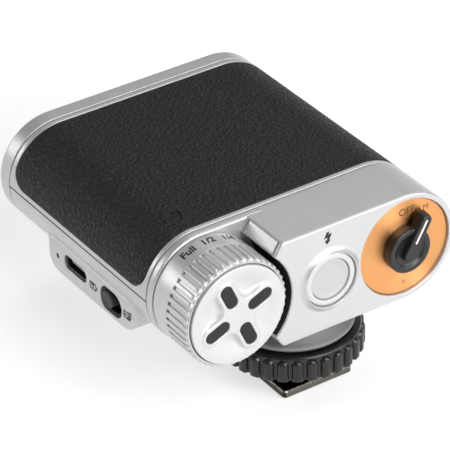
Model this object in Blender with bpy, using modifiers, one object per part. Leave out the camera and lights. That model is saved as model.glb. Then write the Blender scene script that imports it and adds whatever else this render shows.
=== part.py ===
"""A compact hot-shoe flash, built as separate solids.

Lengths are in millimetres here and become metres in the helper functions. The origin is the centre of the
shoe foot's underside. +Y runs forward to the flash window, +Z up, and +X to the right seen from behind.
"""

import math

import bmesh
import bpy
from mathutils import Matrix

MM = 0.001
GAP = 0.3                                   # air between two pieces that would touch
HALF_GAP = GAP / 2
OVER = 1.0                                  # how far a cutter runs past what it cuts

# Body: a tube of stadium section, lying on its side
BODY_WIDTH = 72.0
BODY_ROUND = 13.5                           # radius of the round ends, half the body's height
BODY_MIDDLE = 29.5                          # height of the middle plane
END_X = BODY_WIDTH / 2 - BODY_ROUND         # the round ends' centres
BODY_TOP = BODY_MIDDLE + BODY_ROUND
BODY_BOTTOM = BODY_MIDDLE - BODY_ROUND
WALL = 1.8
FRONT = 66.5
FRONT_SEAM = 61.9
BACK_SEAM = 3.2
BACK = -11.4
FLANGE_BACK = 1.2                           # the step behind which the dial sits

# Skin let into the top cover
SKIN_BACK, SKIN_FRONT = 4.8, 60.0
SKIN_THICKNESS = 0.5
SKIN_PROUD = 0.05
SKIN_LIFT = 7.0                             # degrees between the middle plane and the skin's lower edges

# Power dial, on the left round end's axis
DIAL_FRONT = FLANGE_BACK - GAP
DIAL_RADIUS = 13.2
DIAL_BAND_END = -4.5                        # the number band ends and the ribs begin
DIAL_RIB_END = -11.7
DIAL_BACK = -12.2
DIAL_RIM = 12.75
DIAL_RIBS = 44
DIAL_CAP_RADIUS = 12.0
DIAL_FACE = -13.1                            # crown of the X on the dial's face
DIAL_POCKET = 14.5                          # radius of the hollow that the dial turns in
DIAL_STEP = 23.0                            # degrees between two power settings; the X stands turned by one
PAD_LENGTH, PAD_WIDTH = 6.2, 2.8            # dark pads let into the X's arms
PAD_REACH = 6.0                             # the pads' distance from the dial's axis
SHAFT_RADIUS = 2.9
FACET_TOP_X = -10.5                         # where the chamfer beside the dial meets the top face
FACET_ANGLE = 58.0

# Mode selector, on the right round end's axis
PLATE_RADIUS = 12.0
PLATE_THICKNESS = 0.8
KNOB_RADIUS = 5.6
KNOB_BACK = -15.0
KNOB_SHAFT_RADIUS = 2.2
KNOB_TILT = -30.0                           # degrees from upright, towards +X

# Test button
BUTTON_X, BUTTON_Z = 1.9, 29.2
BUTTON_RADIUS = 5.05
BUTTON_BACK = -12.6
RING_OUTER, RING_INNER = 6.6, 5.35
RING_BACK = -12.8
MOUND_RADIUS, MOUND_BACK = 8.5, -12.3       # the raised ground round the ring

# Port block on the lower left side
BLOCK_BACK, BLOCK_FRONT = 9.9, 46.2
BLOCK_SIDE = -35.9
BLOCK_TOP = 25.5
USB_Y, USB_Z = 33.7, 21.75
SWITCH_BACK, SWITCH_FRONT = 14.1, 23.1
SWITCH_Z = 20.95
SWITCH_CENTRE = ((SWITCH_BACK + SWITCH_FRONT) / 2, SWITCH_Z)
SWITCH_HEIGHT = 6.2
SLIDER_RADIUS = 2.1
SLIDER_Y = 19.9
LAMP_Y, LAMP_Z = 41.3, 21.3

# Light unit behind the front window
WINDOW_WIDTH, WINDOW_HEIGHT = 58.0, 19.5
TUBE_Y = 51.5
TUBE_RADIUS = 1.7

# Shoe
FOOT_WIDTH, FOOT_THICKNESS = 18.6, 1.9
FOOT_BACK, FOOT_FRONT = -10.3, 9.0
NECK_WIDTH, NECK_LENGTH, NECK_TOP = 11.6, 15.0, 6.4
STEM_RADIUS = 9.0
RING_TOP, RING_BOTTOM = 12.5, 6.5
LOCK_RADIUS = 16.5
LOCK_RIBS = 30
BASE_RIM = 14.3
BASE_RIM_Z = 13.8
FOOT_SCREW_XY = 4.2
LOCK_PIN_Y = 6.3

FINISHES = {                                # colour, roughness, metallic
    "silver": ((0.60, 0.60, 0.60), 0.38, 0.55),
    "black_plastic": ((0.025, 0.025, 0.027), 0.45, 0.0),
    "rubber": ((0.035, 0.035, 0.035), 0.8, 0.0),
    "leather": ((0.028, 0.028, 0.029), 0.6, 0.0),
    "copper": ((0.85, 0.42, 0.14), 0.28, 0.9),
    "white": ((0.80, 0.78, 0.77), 0.5, 0.0),
    "clear": ((0.85, 0.90, 0.92), 0.08, 0.0),
    "chrome": ((0.90, 0.90, 0.90), 0.08, 1.0),
    "steel": ((0.52, 0.50, 0.48), 0.3, 1.0),
    "brass": ((0.75, 0.55, 0.22), 0.3, 1.0),
    "dark_metal": ((0.06, 0.06, 0.06), 0.35, 0.8),
    "board": ((0.02, 0.16, 0.07), 0.5, 0.0),
    "foil": ((0.10, 0.13, 0.30), 0.4, 0.0),
}

# Local axes of a piece whose own Z runs along the named axis, given as world directions
FRAMES = {
    "X": ((0, 1, 0), (0, 0, 1), (1, 0, 0)),
    "Y": ((1, 0, 0), (0, 0, 1), (0, -1, 0)),
    "Z": ((1, 0, 0), (0, 1, 0), (0, 0, 1)),
}


def fresh_collection(name):
    collection = bpy.data.collections.new(name)
    bpy.context.scene.collection.children.link(collection)
    return collection


for old in list(bpy.data.objects):
    bpy.data.objects.remove(old)
PARTS = fresh_collection("compact_flash")
CUTTERS = fresh_collection("cutters")


# ---------------------------------------------------------------- helpers

def finish_material(name, finish):
    """A Principled material of the piece's own."""
    colour, roughness, metallic = FINISHES[finish]
    material = bpy.data.materials.new(name)
    material.use_nodes = True
    shader = material.node_tree.nodes["Principled BSDF"]
    shader.inputs["Base Color"].default_value = (*colour, 1)
    shader.inputs["Roughness"].default_value = roughness
    shader.inputs["Metallic"].default_value = metallic
    return material


def frame_matrix(axis, origin):
    matrix = Matrix(FRAMES[axis]).transposed().to_4x4()
    matrix.translation = [MM * value for value in origin]
    return matrix


def add_piece(name, data, matrix, finish):
    """Links an object: a part when it has a finish, a cutter when it has none."""
    piece = bpy.data.objects.new(name, data)
    piece.matrix_world = matrix
    if finish is None:
        piece.hide_render = True
        piece.display_type = "WIRE"
        CUTTERS.objects.link(piece)
    else:
        data.materials.append(finish_material(name, finish))
        PARTS.objects.link(piece)
    return piece


def mesh_from(bm, name):
    mesh = bpy.data.meshes.new(name)
    bm.to_mesh(mesh)
    bm.free()
    mesh.shade_smooth()
    mesh.set_sharp_from_angle(angle=math.radians(35))
    return mesh


def block(name, low, high, finish=None, bevel=0.0):
    """A box between two corners, with its edges rounded by bevel."""
    size = [MM * (b - a) for a, b in zip(low, high)]
    middle = [(a + b) / 2 for a, b in zip(low, high)]
    bm = bmesh.new()
    bmesh.ops.create_cube(bm, size=1, matrix=Matrix.Diagonal((*size, 1)))
    piece = add_piece(name, mesh_from(bm, name), frame_matrix("Z", middle), finish)
    if bevel:
        round_edges(piece, bevel)
    return piece


def rod(name, radius, low, high, axis, centre=(0, 0, 0), finish=None, segments=32):
    """A cylinder between two places along an axis."""
    index = "XYZ".index(axis)
    middle = list(centre)
    middle[index] = (low + high) / 2
    bm = bmesh.new()
    bmesh.ops.create_cone(bm, cap_ends=True, segments=segments, radius1=MM * radius, radius2=MM * radius,
                          depth=MM * (high - low))
    return add_piece(name, mesh_from(bm, name), frame_matrix(axis, middle), finish)


def turned(name, profile, axis, centre=(0, 0, 0), finish=None, steps=48):
    """A solid turned from (radius, place along the axis) points. With no point on the axis it is a ring."""
    level = centre["XYZ".index(axis)]
    flip = -1 if axis == "Y" else 1
    points = [(radius, flip * (place - level)) for radius, place in profile]
    turns = zip(points, points[1:] + points[:1])
    if sum(r0 * z1 - r1 * z0 for (r0, z0), (r1, z1) in turns) > 0:
        points.reverse()
    edges = [(i, i + 1) for i in range(len(points) - 1)]
    if points[0][0] > 0:
        edges.append((len(points) - 1, 0))
    mesh = bpy.data.meshes.new(name)
    mesh.from_pydata([(MM * radius, 0, MM * place) for radius, place in points], edges, [])
    piece = add_piece(name, mesh, frame_matrix(axis, centre), finish)
    screw = piece.modifiers.new("turn", "SCREW")
    screw.steps = steps
    screw.render_steps = steps
    screw.use_merge_vertices = True
    screw.merge_threshold = 0.00001
    return piece


def prism(name, outline, low, high, axis, centre=(0, 0, 0), finish=None):
    """An outline in the two other world axes, extruded from low to high along an axis."""
    index = "XYZ".index(axis)
    first, second = [centre[i] for i in range(3) if i != index]
    middle = list(centre)
    middle[index] = (low + high) / 2
    curve = bpy.data.curves.new(name, "CURVE")
    curve.dimensions = "2D"
    curve.fill_mode = "BOTH"
    curve.extrude = MM * (high - low) / 2
    spline = curve.splines.new("POLY")
    spline.points.add(len(outline) - 1)
    spline.use_cyclic_u = True
    for point, (a, b) in zip(spline.points, outline):
        point.co = (MM * (a - first), MM * (b - second), 0, 1)
    return mesh_piece(name, curve, frame_matrix(axis, middle), finish)


def mesh_piece(name, curve, matrix, finish):
    """A curve's solid as a welded mesh, which can be cut."""
    source = bpy.data.objects.new(name, curve)
    bpy.context.scene.collection.objects.link(source)
    bpy.context.view_layer.update()
    mesh = bpy.data.meshes.new_from_object(source.evaluated_get(bpy.context.evaluated_depsgraph_get()))
    bpy.data.objects.remove(source)
    bm = bmesh.new()
    bm.from_mesh(mesh)
    bpy.data.meshes.remove(mesh)
    bmesh.ops.remove_doubles(bm, verts=bm.verts, dist=0.000001)
    bmesh.ops.recalc_face_normals(bm, faces=bm.faces)
    return add_piece(name, mesh_from(bm, name), matrix, finish)


def combine(target, other, operation):
    """A Boolean between a piece and a cutter."""
    boolean = target.modifiers.new(operation.lower(), "BOOLEAN")
    boolean.operation = operation
    boolean.solver = "EXACT"
    boolean.object = other


def cut(target, *cutters):
    for cutter in cutters:
        combine(target, cutter, "DIFFERENCE")


def join(target, *others):
    for other in others:
        combine(target, other, "UNION")


def round_edges(piece, width, segments=2, angle=40):
    bevel = piece.modifiers.new("round", "BEVEL")
    bevel.width = MM * width
    bevel.segments = segments
    bevel.limit_method = "ANGLE"
    bevel.angle_limit = math.radians(angle)


def arc(centre, radius, start, end, steps):
    """Points along an arc between two angles in degrees, both ends included."""
    angles = [math.radians(start + (end - start) * i / steps) for i in range(steps + 1)]
    return [(centre[0] + radius * math.cos(a), centre[1] + radius * math.sin(a)) for a in angles]


def stadium(inset=0.0):
    """The body's section, or one set in from it."""
    radius = BODY_ROUND - inset
    right = arc((END_X, BODY_MIDDLE), radius, -90, 90, 18)
    left = arc((-END_X, BODY_MIDDLE), radius, 90, 270, 18)
    return right + left


def upper_band(outer, inner, lift):
    """The section of a skin over the body's upper half, its ends lift degrees over the middle plane."""
    right, left = (END_X, BODY_MIDDLE), (-END_X, BODY_MIDDLE)
    outside = arc(right, outer, lift, 90, 9) + arc(left, outer, 90, 180 - lift, 9)
    inside = arc(left, inner, 180 - lift, 90, 9) + arc(right, inner, 90, lift, 9)
    return outside + inside


def rounded(width, height, radius, centre=(0, 0), steps=4):
    """A rectangle with round corners. A radius of half the height makes round ends."""
    x, y = width / 2 - radius, height / 2 - radius
    corners = ((x, y, 0), (-x, y, 90), (-x, -y, 180), (x, -y, 270))
    points = []
    for dx, dy, start in corners:
        for point in arc((centre[0] + dx, centre[1] + dy), radius, start, start + 90, steps):
            if not points or math.dist(point, points[-1]) > 0.001:
                points.append(point)
    if math.dist(points[0], points[-1]) < 0.001:
        points.pop()
    return points


def oval(width, height, centre=(0, 0)):
    """A slot's outline: a rectangle with round ends."""
    return rounded(width, height, height / 2 - 0.01, centre)


def ribbed(outer, inner, count, steps=2):
    """A round outline with count lobes whose flanks fall to the inner radius."""
    points = []
    for i in range(count):
        start = 360 * i / count
        pitch = 360 / count
        points += arc((0, 0), outer, start, start + 0.55 * pitch, steps)
        points += arc((0, 0), inner, start + 0.68 * pitch, start + 0.87 * pitch, 1)
    return points


# ---------------------------------------------------------------- body

SCREW_POSTS = ((-16.2, 9.3), (16.2, 9.3), (-24.0, 44.6), (24.0, 44.6))


def top_cover():
    """Upper half of the tube, with a shallow bed for the skin and four screw posts inside."""
    low, high = BACK_SEAM + HALF_GAP, FRONT_SEAM - HALF_GAP
    cover = prism("top_cover", stadium(), low, high, "Y", finish="silver")
    hollow = prism("cover_hollow", stadium(WALL), low - OVER, high + OVER, "Y")
    below = block("cover_below", (-BODY_WIDTH, low - OVER, 0),
                  (BODY_WIDTH, high + OVER, BODY_MIDDLE + HALF_GAP))
    bed_floor = BODY_ROUND + SKIN_PROUD - SKIN_THICKNESS - GAP
    margin = math.degrees(GAP / BODY_ROUND)
    bed = prism("cover_bed", upper_band(BODY_ROUND + OVER, bed_floor, SKIN_LIFT - margin),
                SKIN_BACK - GAP, SKIN_FRONT + GAP, "Y")
    cut(cover, hollow, below)
    for i, (x, y) in enumerate(SCREW_POSTS):
        post = rod(f"cover_post_{i}", 1.7, BODY_BOTTOM + WALL + 0.8, BODY_TOP - WALL / 2, "Z", (x, y, 0),
                   segments=16)
        join(cover, post)
    cut(cover, bed)
    for i, (x, y) in enumerate(SCREW_POSTS):
        cut(cover, rod(f"cover_post_hole_{i}", 1.1, BODY_BOTTOM, 26, "Z", (x, y, 0), segments=12))


def top_skin():
    outer = BODY_ROUND + SKIN_PROUD
    prism("top_leather", upper_band(outer, outer - SKIN_THICKNESS, SKIN_LIFT), SKIN_BACK, SKIN_FRONT, "Y",
          finish="leather")


def bottom_case():
    """Lower half of the tube, squared out into a block on the left side for the ports."""
    low, high = BACK_SEAM + HALF_GAP, FRONT_SEAM - HALF_GAP
    case = prism("bottom_case", stadium(), low, high, "Y", finish="silver")
    corner = 4.5
    side = (arc((BLOCK_FRONT - corner, BODY_BOTTOM + corner), corner, 0, -90, 5)
            + arc((BLOCK_BACK + corner, BODY_BOTTOM + corner), corner, -90, -180, 5)
            + [(BLOCK_BACK, BLOCK_TOP), (BLOCK_FRONT, BLOCK_TOP)])
    bulge = prism("port_block", side, BLOCK_SIDE, -END_X + 4, "X")
    round_edges(bulge, 1.2)
    join(case, bulge)
    hollow = prism("case_hollow", stadium(WALL), low - OVER, high + OVER, "Y")
    bulge_hollow = block("port_block_hollow", (BLOCK_SIDE + WALL, BLOCK_BACK + 3, BODY_BOTTOM + WALL + 0.1),
                         (-END_X + 3, BLOCK_FRONT - 3, BLOCK_TOP + OVER))
    above = block("case_above", (-BODY_WIDTH, low - OVER, BODY_MIDDLE - HALF_GAP),
                  (BODY_WIDTH, high + OVER, BODY_TOP + OVER))
    inside, outside = BLOCK_SIDE + 3, BLOCK_SIDE - OVER
    slot = prism("usb_slot", rounded(9.6, 3.7, 1.8, (USB_Y, USB_Z)), outside, inside, "X")
    lamp_hole = rod("lamp_hole", 0.85, outside, inside, "X", (0, LAMP_Y, LAMP_Z), segments=16)
    window = prism("switch_window", oval(SWITCH_FRONT - SWITCH_BACK, SWITCH_HEIGHT, SWITCH_CENTRE), outside,
                   inside, "X")
    cut(case, hollow, bulge_hollow, above, slot, lamp_hole, window)
    for i, (x, y) in enumerate(SCREW_POSTS):
        cut(case, rod(f"case_hole_{i}", 1.2, BODY_BOTTOM - OVER, BODY_BOTTOM + WALL + OVER, "Z", (x, y, 0),
                      segments=16))
        cut(case, rod(f"case_counterbore_{i}", 2.0, BODY_BOTTOM - OVER, BODY_BOTTOM + 1.0, "Z", (x, y, 0),
                      segments=24))


def case_screws():
    for i, (x, y) in enumerate(SCREW_POSTS):
        head, seat = BODY_BOTTOM + 0.1, BODY_BOTTOM + 0.7
        turned(f"case_screw_{i + 1}", [(0, head), (1.7, head), (1.7, seat), (0.8, seat), (0.8, 24), (0, 24)],
               "Z", (x, y, seat), "dark_metal", 12)


def front_bezel():
    low = FRONT_SEAM + HALF_GAP
    bezel = prism("front_bezel", stadium(), low, FRONT, "Y", finish="silver")
    round_edges(bezel, 0.8)
    window = prism("bezel_window", rounded(WINDOW_WIDTH, WINDOW_HEIGHT, 3.5, (0, BODY_MIDDLE)),
                   low - OVER, FRONT + OVER, "Y")
    cut(bezel, window)


def facet_cutter(name, side):
    """What is cut off the rear housing beside the dial: side is 1 for the top and -1 for the bottom."""
    slope = math.tan(math.radians(FACET_ANGLE))
    rise, fall = 3.0, 6.0
    outline = [(FACET_TOP_X + rise / slope, rise), (-30, rise), (-30, -fall),
               (FACET_TOP_X - fall / slope, -fall)]
    outline = [(x, BODY_MIDDLE + side * (BODY_ROUND + z)) for x, z in outline]
    return prism(name, outline, BACK - OVER, FLANGE_BACK, "Y")


def rear_housing():
    """Flange behind the seam, and the block that carries the selector and the test button."""
    front = BACK_SEAM - HALF_GAP
    housing = prism("rear_housing", stadium(), BACK, front, "Y", finish="silver")
    pocket = rod("dial_pocket", DIAL_POCKET, BACK - OVER, FLANGE_BACK, "Y", (-END_X, 0, BODY_MIDDLE),
                 segments=72)
    shaft_hole = rod("dial_shaft_hole", SHAFT_RADIUS + GAP, FLANGE_BACK - OVER, front + OVER, "Y",
                     (-END_X, 0, BODY_MIDDLE), segments=24)
    left = -5.5
    radius = BODY_ROUND - WALL
    inner = (arc((END_X, BODY_MIDDLE), radius, -90, 90, 16)
             + arc((left + 2, BODY_MIDDLE + radius - 2), 2, 90, 180, 3)
             + arc((left + 2, BODY_MIDDLE - radius + 2), 2, 180, 270, 3))
    hollow = prism("housing_hollow", inner, BACK + WALL, front + OVER, "Y")
    selector = (END_X, 0, BODY_MIDDLE)
    plate_bed = rod("plate_bed", PLATE_RADIUS + GAP, BACK - OVER, BACK + PLATE_THICKNESS, "Y", selector,
                    segments=48)
    knob_hole = rod("knob_hole", KNOB_SHAFT_RADIUS + GAP, BACK - OVER, BACK + WALL + OVER, "Y", selector,
                    segments=24)
    button_hole = rod("button_hole", RING_OUTER + GAP, BACK - OVER, BACK + WALL + OVER, "Y",
                      (BUTTON_X, 0, BUTTON_Z), segments=40)
    mound = turned("button_mound", [(0, BACK + OVER), (MOUND_RADIUS, BACK + OVER / 2),
                                    (MOUND_RADIUS - 1.0, (BACK + MOUND_BACK) / 2),
                                    (RING_OUTER + 0.5, MOUND_BACK), (0, MOUND_BACK)],
                   "Y", (BUTTON_X, 0, BUTTON_Z), steps=40)
    join(housing, mound)
    cut(housing, pocket, facet_cutter("upper_facet", 1), facet_cutter("lower_facet", -1), hollow, plate_bed,
        knob_hole, button_hole, shaft_hole)


# ---------------------------------------------------------------- controls on the back

def power_dial():
    """The ribbed ring, its face with four dark pads, and the shaft to the rotary switch behind the flange."""
    centre = (-END_X, DIAL_FRONT, BODY_MIDDLE)
    web_back, web_front, cap_front = -3.0, -1.0, -9.6
    bore, seat, skirt = SHAFT_RADIUS + GAP, DIAL_CAP_RADIUS + GAP / 2, DIAL_RADIUS - 1.6
    profile = [(bore, web_back), (skirt, web_back), (skirt, cap_front + 0.3), (seat, cap_front + 0.3),
               (seat, DIAL_BACK), (DIAL_RIM, DIAL_BACK),
               (DIAL_RADIUS, DIAL_RIB_END), (DIAL_RADIUS, DIAL_FRONT), (skirt, DIAL_FRONT),
               (skirt, web_front), (bore, web_front)]
    ring = turned("power_dial", profile, "Y", centre, "silver", DIAL_RIBS)
    cut(ring, dial_slots(centre))

    face, back = DIAL_FACE + 0.7, cap_front
    cap = turned("dial_cap", [(0, face + 0.5), (DIAL_CAP_RADIUS - 1, face + 0.5), (DIAL_CAP_RADIUS - 1, face),
                              (DIAL_CAP_RADIUS, face), (DIAL_CAP_RADIUS, back), (bore, back),
                              (bore, back - 1.2), (0, back - 1.2)], "Y", centre, "silver", 48)
    for i in range(2):
        arms = turn(oval(20.0, 5.2), DIAL_STEP + 90 * i, centre)
        join(cap, prism(f"dial_arms_{i}", arms, DIAL_FACE, face + 1.0, "Y", centre))
    for i in range(4):
        angle = DIAL_STEP + 90 * i
        pocket = turn(oval(PAD_LENGTH + 2 * GAP, PAD_WIDTH + 2 * GAP, (PAD_REACH, 0)), angle, centre)
        cut(cap, prism(f"pad_seat_{i}", pocket, face - 2, DIAL_FACE + 0.9, "Y", centre))
        pad = turn(oval(PAD_LENGTH, PAD_WIDTH, (PAD_REACH, 0)), angle, centre)
        prism(f"dial_pad_{i + 1}", pad, DIAL_FACE - 0.05, DIAL_FACE + 0.6, "Y", centre, "rubber")

    rod("dial_shaft", SHAFT_RADIUS, back - 0.9, 6.2, "Y", centre, "steel", 20)
    body = rod("dial_switch", 5.0, BACK_SEAM + 0.4, 7.3, "Y", centre, "black_plastic", 24)
    bore = rod("dial_switch_bore", SHAFT_RADIUS + GAP, BACK_SEAM - OVER, 6.5, "Y", centre, segments=24)
    cut(body, bore)


def turn(outline, degrees, centre):
    """An outline about the origin, turned and moved to a centre in the XZ plane."""
    c, s = math.cos(math.radians(degrees)), math.sin(math.radians(degrees))
    return [(centre[0] + c * x - s * z, centre[2] + s * x + c * z) for x, z in outline]


def dial_slots(centre):
    """One cutter for all the grooves between the dial's ribs."""
    width, depth = 0.75, 0.6
    length = DIAL_BAND_END - DIAL_BACK + OVER
    bm = bmesh.new()
    for i in range(DIAL_RIBS):
        place = (Matrix.Rotation(math.tau * i / DIAL_RIBS, 4, "Z")
                 @ Matrix.Translation((MM * (DIAL_RADIUS - depth + 1), 0, 0))
                 @ Matrix.Diagonal((MM * 2, MM * width, MM * length, 1)))
        bmesh.ops.create_cube(bm, size=1, matrix=place)
    middle = (centre[0], DIAL_BAND_END - length / 2, centre[2])
    return add_piece("dial_slots", mesh_from(bm, "dial_slots"), frame_matrix("Y", middle), None)


def mode_selector():
    """A round metal plate with a black lever knob on a rotary switch."""
    centre = (END_X, BACK, BODY_MIDDLE)
    plate_back = BACK - 0.2
    plate = rod("mode_plate", PLATE_RADIUS, plate_back, plate_back + PLATE_THICKNESS, "Y", centre, "copper",
                64)
    cut(plate, rod("plate_hole", KNOB_SHAFT_RADIUS + GAP, plate_back - OVER, plate_back + 2, "Y", centre,
                   segments=24))

    knob_front = plate_back - GAP
    knob = rod("mode_knob", KNOB_RADIUS, KNOB_BACK + 0.7, knob_front, "Y", centre, "black_plastic", 40)
    lever = turn(rounded(11.6, 2.9, 1.3, (3.5, 0)), 90 + KNOB_TILT, centre)
    join(knob, prism("knob_lever", lever, KNOB_BACK, knob_front - 0.5, "Y", centre))
    cut(knob, rod("knob_bore", KNOB_SHAFT_RADIUS + GAP, KNOB_BACK + 1.9, knob_front + OVER, "Y", centre,
                  segments=24))
    groove = turn(rounded(6.8, 1.3, 0.4, (5.1, 0)), 90 + KNOB_TILT, centre)
    cut(knob, prism("knob_groove", groove, KNOB_BACK - OVER, KNOB_BACK + 0.6, "Y", centre))
    line = turn(rounded(6.2, 0.7, 0.3, (5.1, 0)), 90 + KNOB_TILT, centre)
    prism("knob_index", line, KNOB_BACK - 0.05, KNOB_BACK + 0.3, "Y", centre, "white")

    rod("mode_shaft", KNOB_SHAFT_RADIUS, KNOB_BACK + 2.3, -5.2, "Y", centre, "steel", 20)
    body = rod("mode_switch", 6.0, -9.2, -2.4, "Y", centre, "black_plastic", 24)
    cut(body, rod("mode_switch_bore", KNOB_SHAFT_RADIUS + GAP, -9.2 - OVER, -4.6, "Y", centre, segments=24))


def test_button():
    """A round button in a guide ring, over a small push switch."""
    centre = (BUTTON_X, BACK, BUTTON_Z)
    turned("button_ring", [(RING_INNER, RING_BACK), (RING_OUTER - 0.4, RING_BACK), (RING_OUTER, RING_BACK + 0.4),
                           (RING_OUTER, -9.2), (RING_INNER, -9.2)], "Y", centre, "silver", 36)
    turned("test_button", [(0, BUTTON_BACK + 0.3), (3.0, BUTTON_BACK + 0.2),
                           (BUTTON_RADIUS - 0.5, BUTTON_BACK), (BUTTON_RADIUS, BUTTON_BACK + 0.5),
                           (BUTTON_RADIUS, -9.6), (1.6, -9.6), (1.6, -7.5), (0, -7.5)],
           "Y", centre, "silver", 32)
    switch = block("test_switch", (BUTTON_X - 3, -5.6, BUTTON_Z - 3), (BUTTON_X + 3, -2.4, BUTTON_Z + 3),
                   "black_plastic")
    join(switch, rod("test_switch_plunger", 1.5, -6.3, -4.0, "Y", centre, segments=16))


# ---------------------------------------------------------------- left side

def side_ports():
    """Charging socket, status lamp and slide switch in the port block."""
    shell = prism("usb_shell", rounded(8.9, 3.1, 1.5, (USB_Y, USB_Z)), BLOCK_SIDE + 0.4, -28.2, "X",
                  finish="steel")
    cut(shell, prism("usb_inside", rounded(8.3, 2.5, 1.2, (USB_Y, USB_Z)), BLOCK_SIDE - OVER, -28.2 + OVER,
                     "X"))
    tongue = block("usb_tongue", (BLOCK_SIDE + 1.2, USB_Y - 3.3, USB_Z - 0.35),
                   (-27.0, USB_Y + 3.3, USB_Z + 0.35), "black_plastic")
    join(tongue, prism("usb_back", rounded(7.6, 1.8, 0.6, (USB_Y, USB_Z)), -29.5, -27.4, "X"))

    rod("status_lamp", 0.55, BLOCK_SIDE + 0.15, -32.6, "X", (0, LAMP_Y, LAMP_Z), "clear", 16)

    switch_y = SWITCH_CENTRE[0]
    length, height = SWITCH_FRONT - SWITCH_BACK - 2 * GAP, SWITCH_HEIGHT - 2 * GAP
    liner = prism("slide_switch", oval(length, height, SWITCH_CENTRE), BLOCK_SIDE + 0.5, -31.0, "X",
                  finish="black_plastic")
    track = prism("slide_track", oval(length - 1, height - 1, SWITCH_CENTRE), BLOCK_SIDE - OVER, -33.6, "X")
    cut(liner, track,
        block("slide_stem_slot", (-34, switch_y - 3.6, SWITCH_Z - 1.0),
              (-31 + OVER, switch_y + 3.6, SWITCH_Z + 1.0)))
    knob = rod("slide_knob", SLIDER_RADIUS, BLOCK_SIDE - 0.2, -34.0, "X", (0, SLIDER_Y, SWITCH_Z), "rubber")
    join(knob, block("slide_knob_stem", (-35, SLIDER_Y - 1.0, SWITCH_Z - 0.6),
                     (-31.4, SLIDER_Y + 1.0, SWITCH_Z + 0.6)))


# ---------------------------------------------------------------- light unit

def parabola(depth, half_height, offset, steps=10):
    """Section of a reflector that opens towards +Y, as (y, z) points from one lip round to the other."""
    points = []
    for i in range(2 * steps + 1):
        t = i / steps - 1
        points.append((offset + depth * t * t, BODY_MIDDLE + half_height * t))
    return points


def light_unit():
    """Window frame, clear lens, reflector and flash tube."""
    middle = (0, BODY_MIDDLE)
    frame = prism("window_frame", rounded(WINDOW_WIDTH - 2 * GAP, WINDOW_HEIGHT - 2 * GAP, 3.2, middle),
                  62.2, 65.6, "Y", finish="black_plastic")
    cut(frame, prism("frame_window", rounded(51.6, 15.2, 2.0, middle), 62.2 - OVER, 65.6 + OVER, "Y"))
    prism("flash_lens", rounded(51.0, 14.6, 1.7, middle), 63.2, 65.2, "Y", finish="clear")

    back, lip, wall = 47.4, 61.6, 0.8
    outer = parabola(lip - back, 8.0, back)
    reflector = prism("reflector", outer, -26.0, 26.0, "X", finish="chrome")
    inner = [(y + wall, BODY_MIDDLE + (z - BODY_MIDDLE) * (1 - wall / 8.0)) for y, z in outer]
    cut(reflector, prism("reflector_inside", inner, -25.2, 25.2, "X"),
        rod("reflector_tube_hole", TUBE_RADIUS + 0.35, -27, 27, "X", (0, TUBE_Y, BODY_MIDDLE), segments=24))

    rod("xenon_tube", TUBE_RADIUS, -29.0, 29.0, "X", (0, TUBE_Y, BODY_MIDDLE), "clear", 24)
    for name, side in (("tube_cap_left", -1), ("tube_cap_right", 1)):
        low, high = sorted((side * 26.4, side * 31.0))
        cap = rod(name, 2.7, low, high, "X", (0, TUBE_Y, BODY_MIDDLE), "rubber", 24)
        low, high = sorted((side * 25.0, side * 29.4))
        cut(cap, rod(f"{name}_bore", TUBE_RADIUS + 0.35, low, high, "X", (0, TUBE_Y, BODY_MIDDLE),
                     segments=24))


def electronics():
    """Boards, capacitor, battery and trigger coil inside the body."""
    block("main_board", (-26, 11, 18.6), (26, 42, 19.8), "board")
    block("control_board", (-4.8, -2.1, 20), (26.5, -0.9, 39), "board")
    rod("flash_capacitor", 8.5, -18, 18, "X", (0, 33.2, 31.2), "foil", 40)
    block("battery_cell", (-25, 11.4, 21.6), (25, 24.4, 39.6), "black_plastic", 1.5)
    block("trigger_coil", (19.4, 28, 20.2), (29, 40, 28.5), "brass", 0.8)


# ---------------------------------------------------------------- shoe

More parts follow.
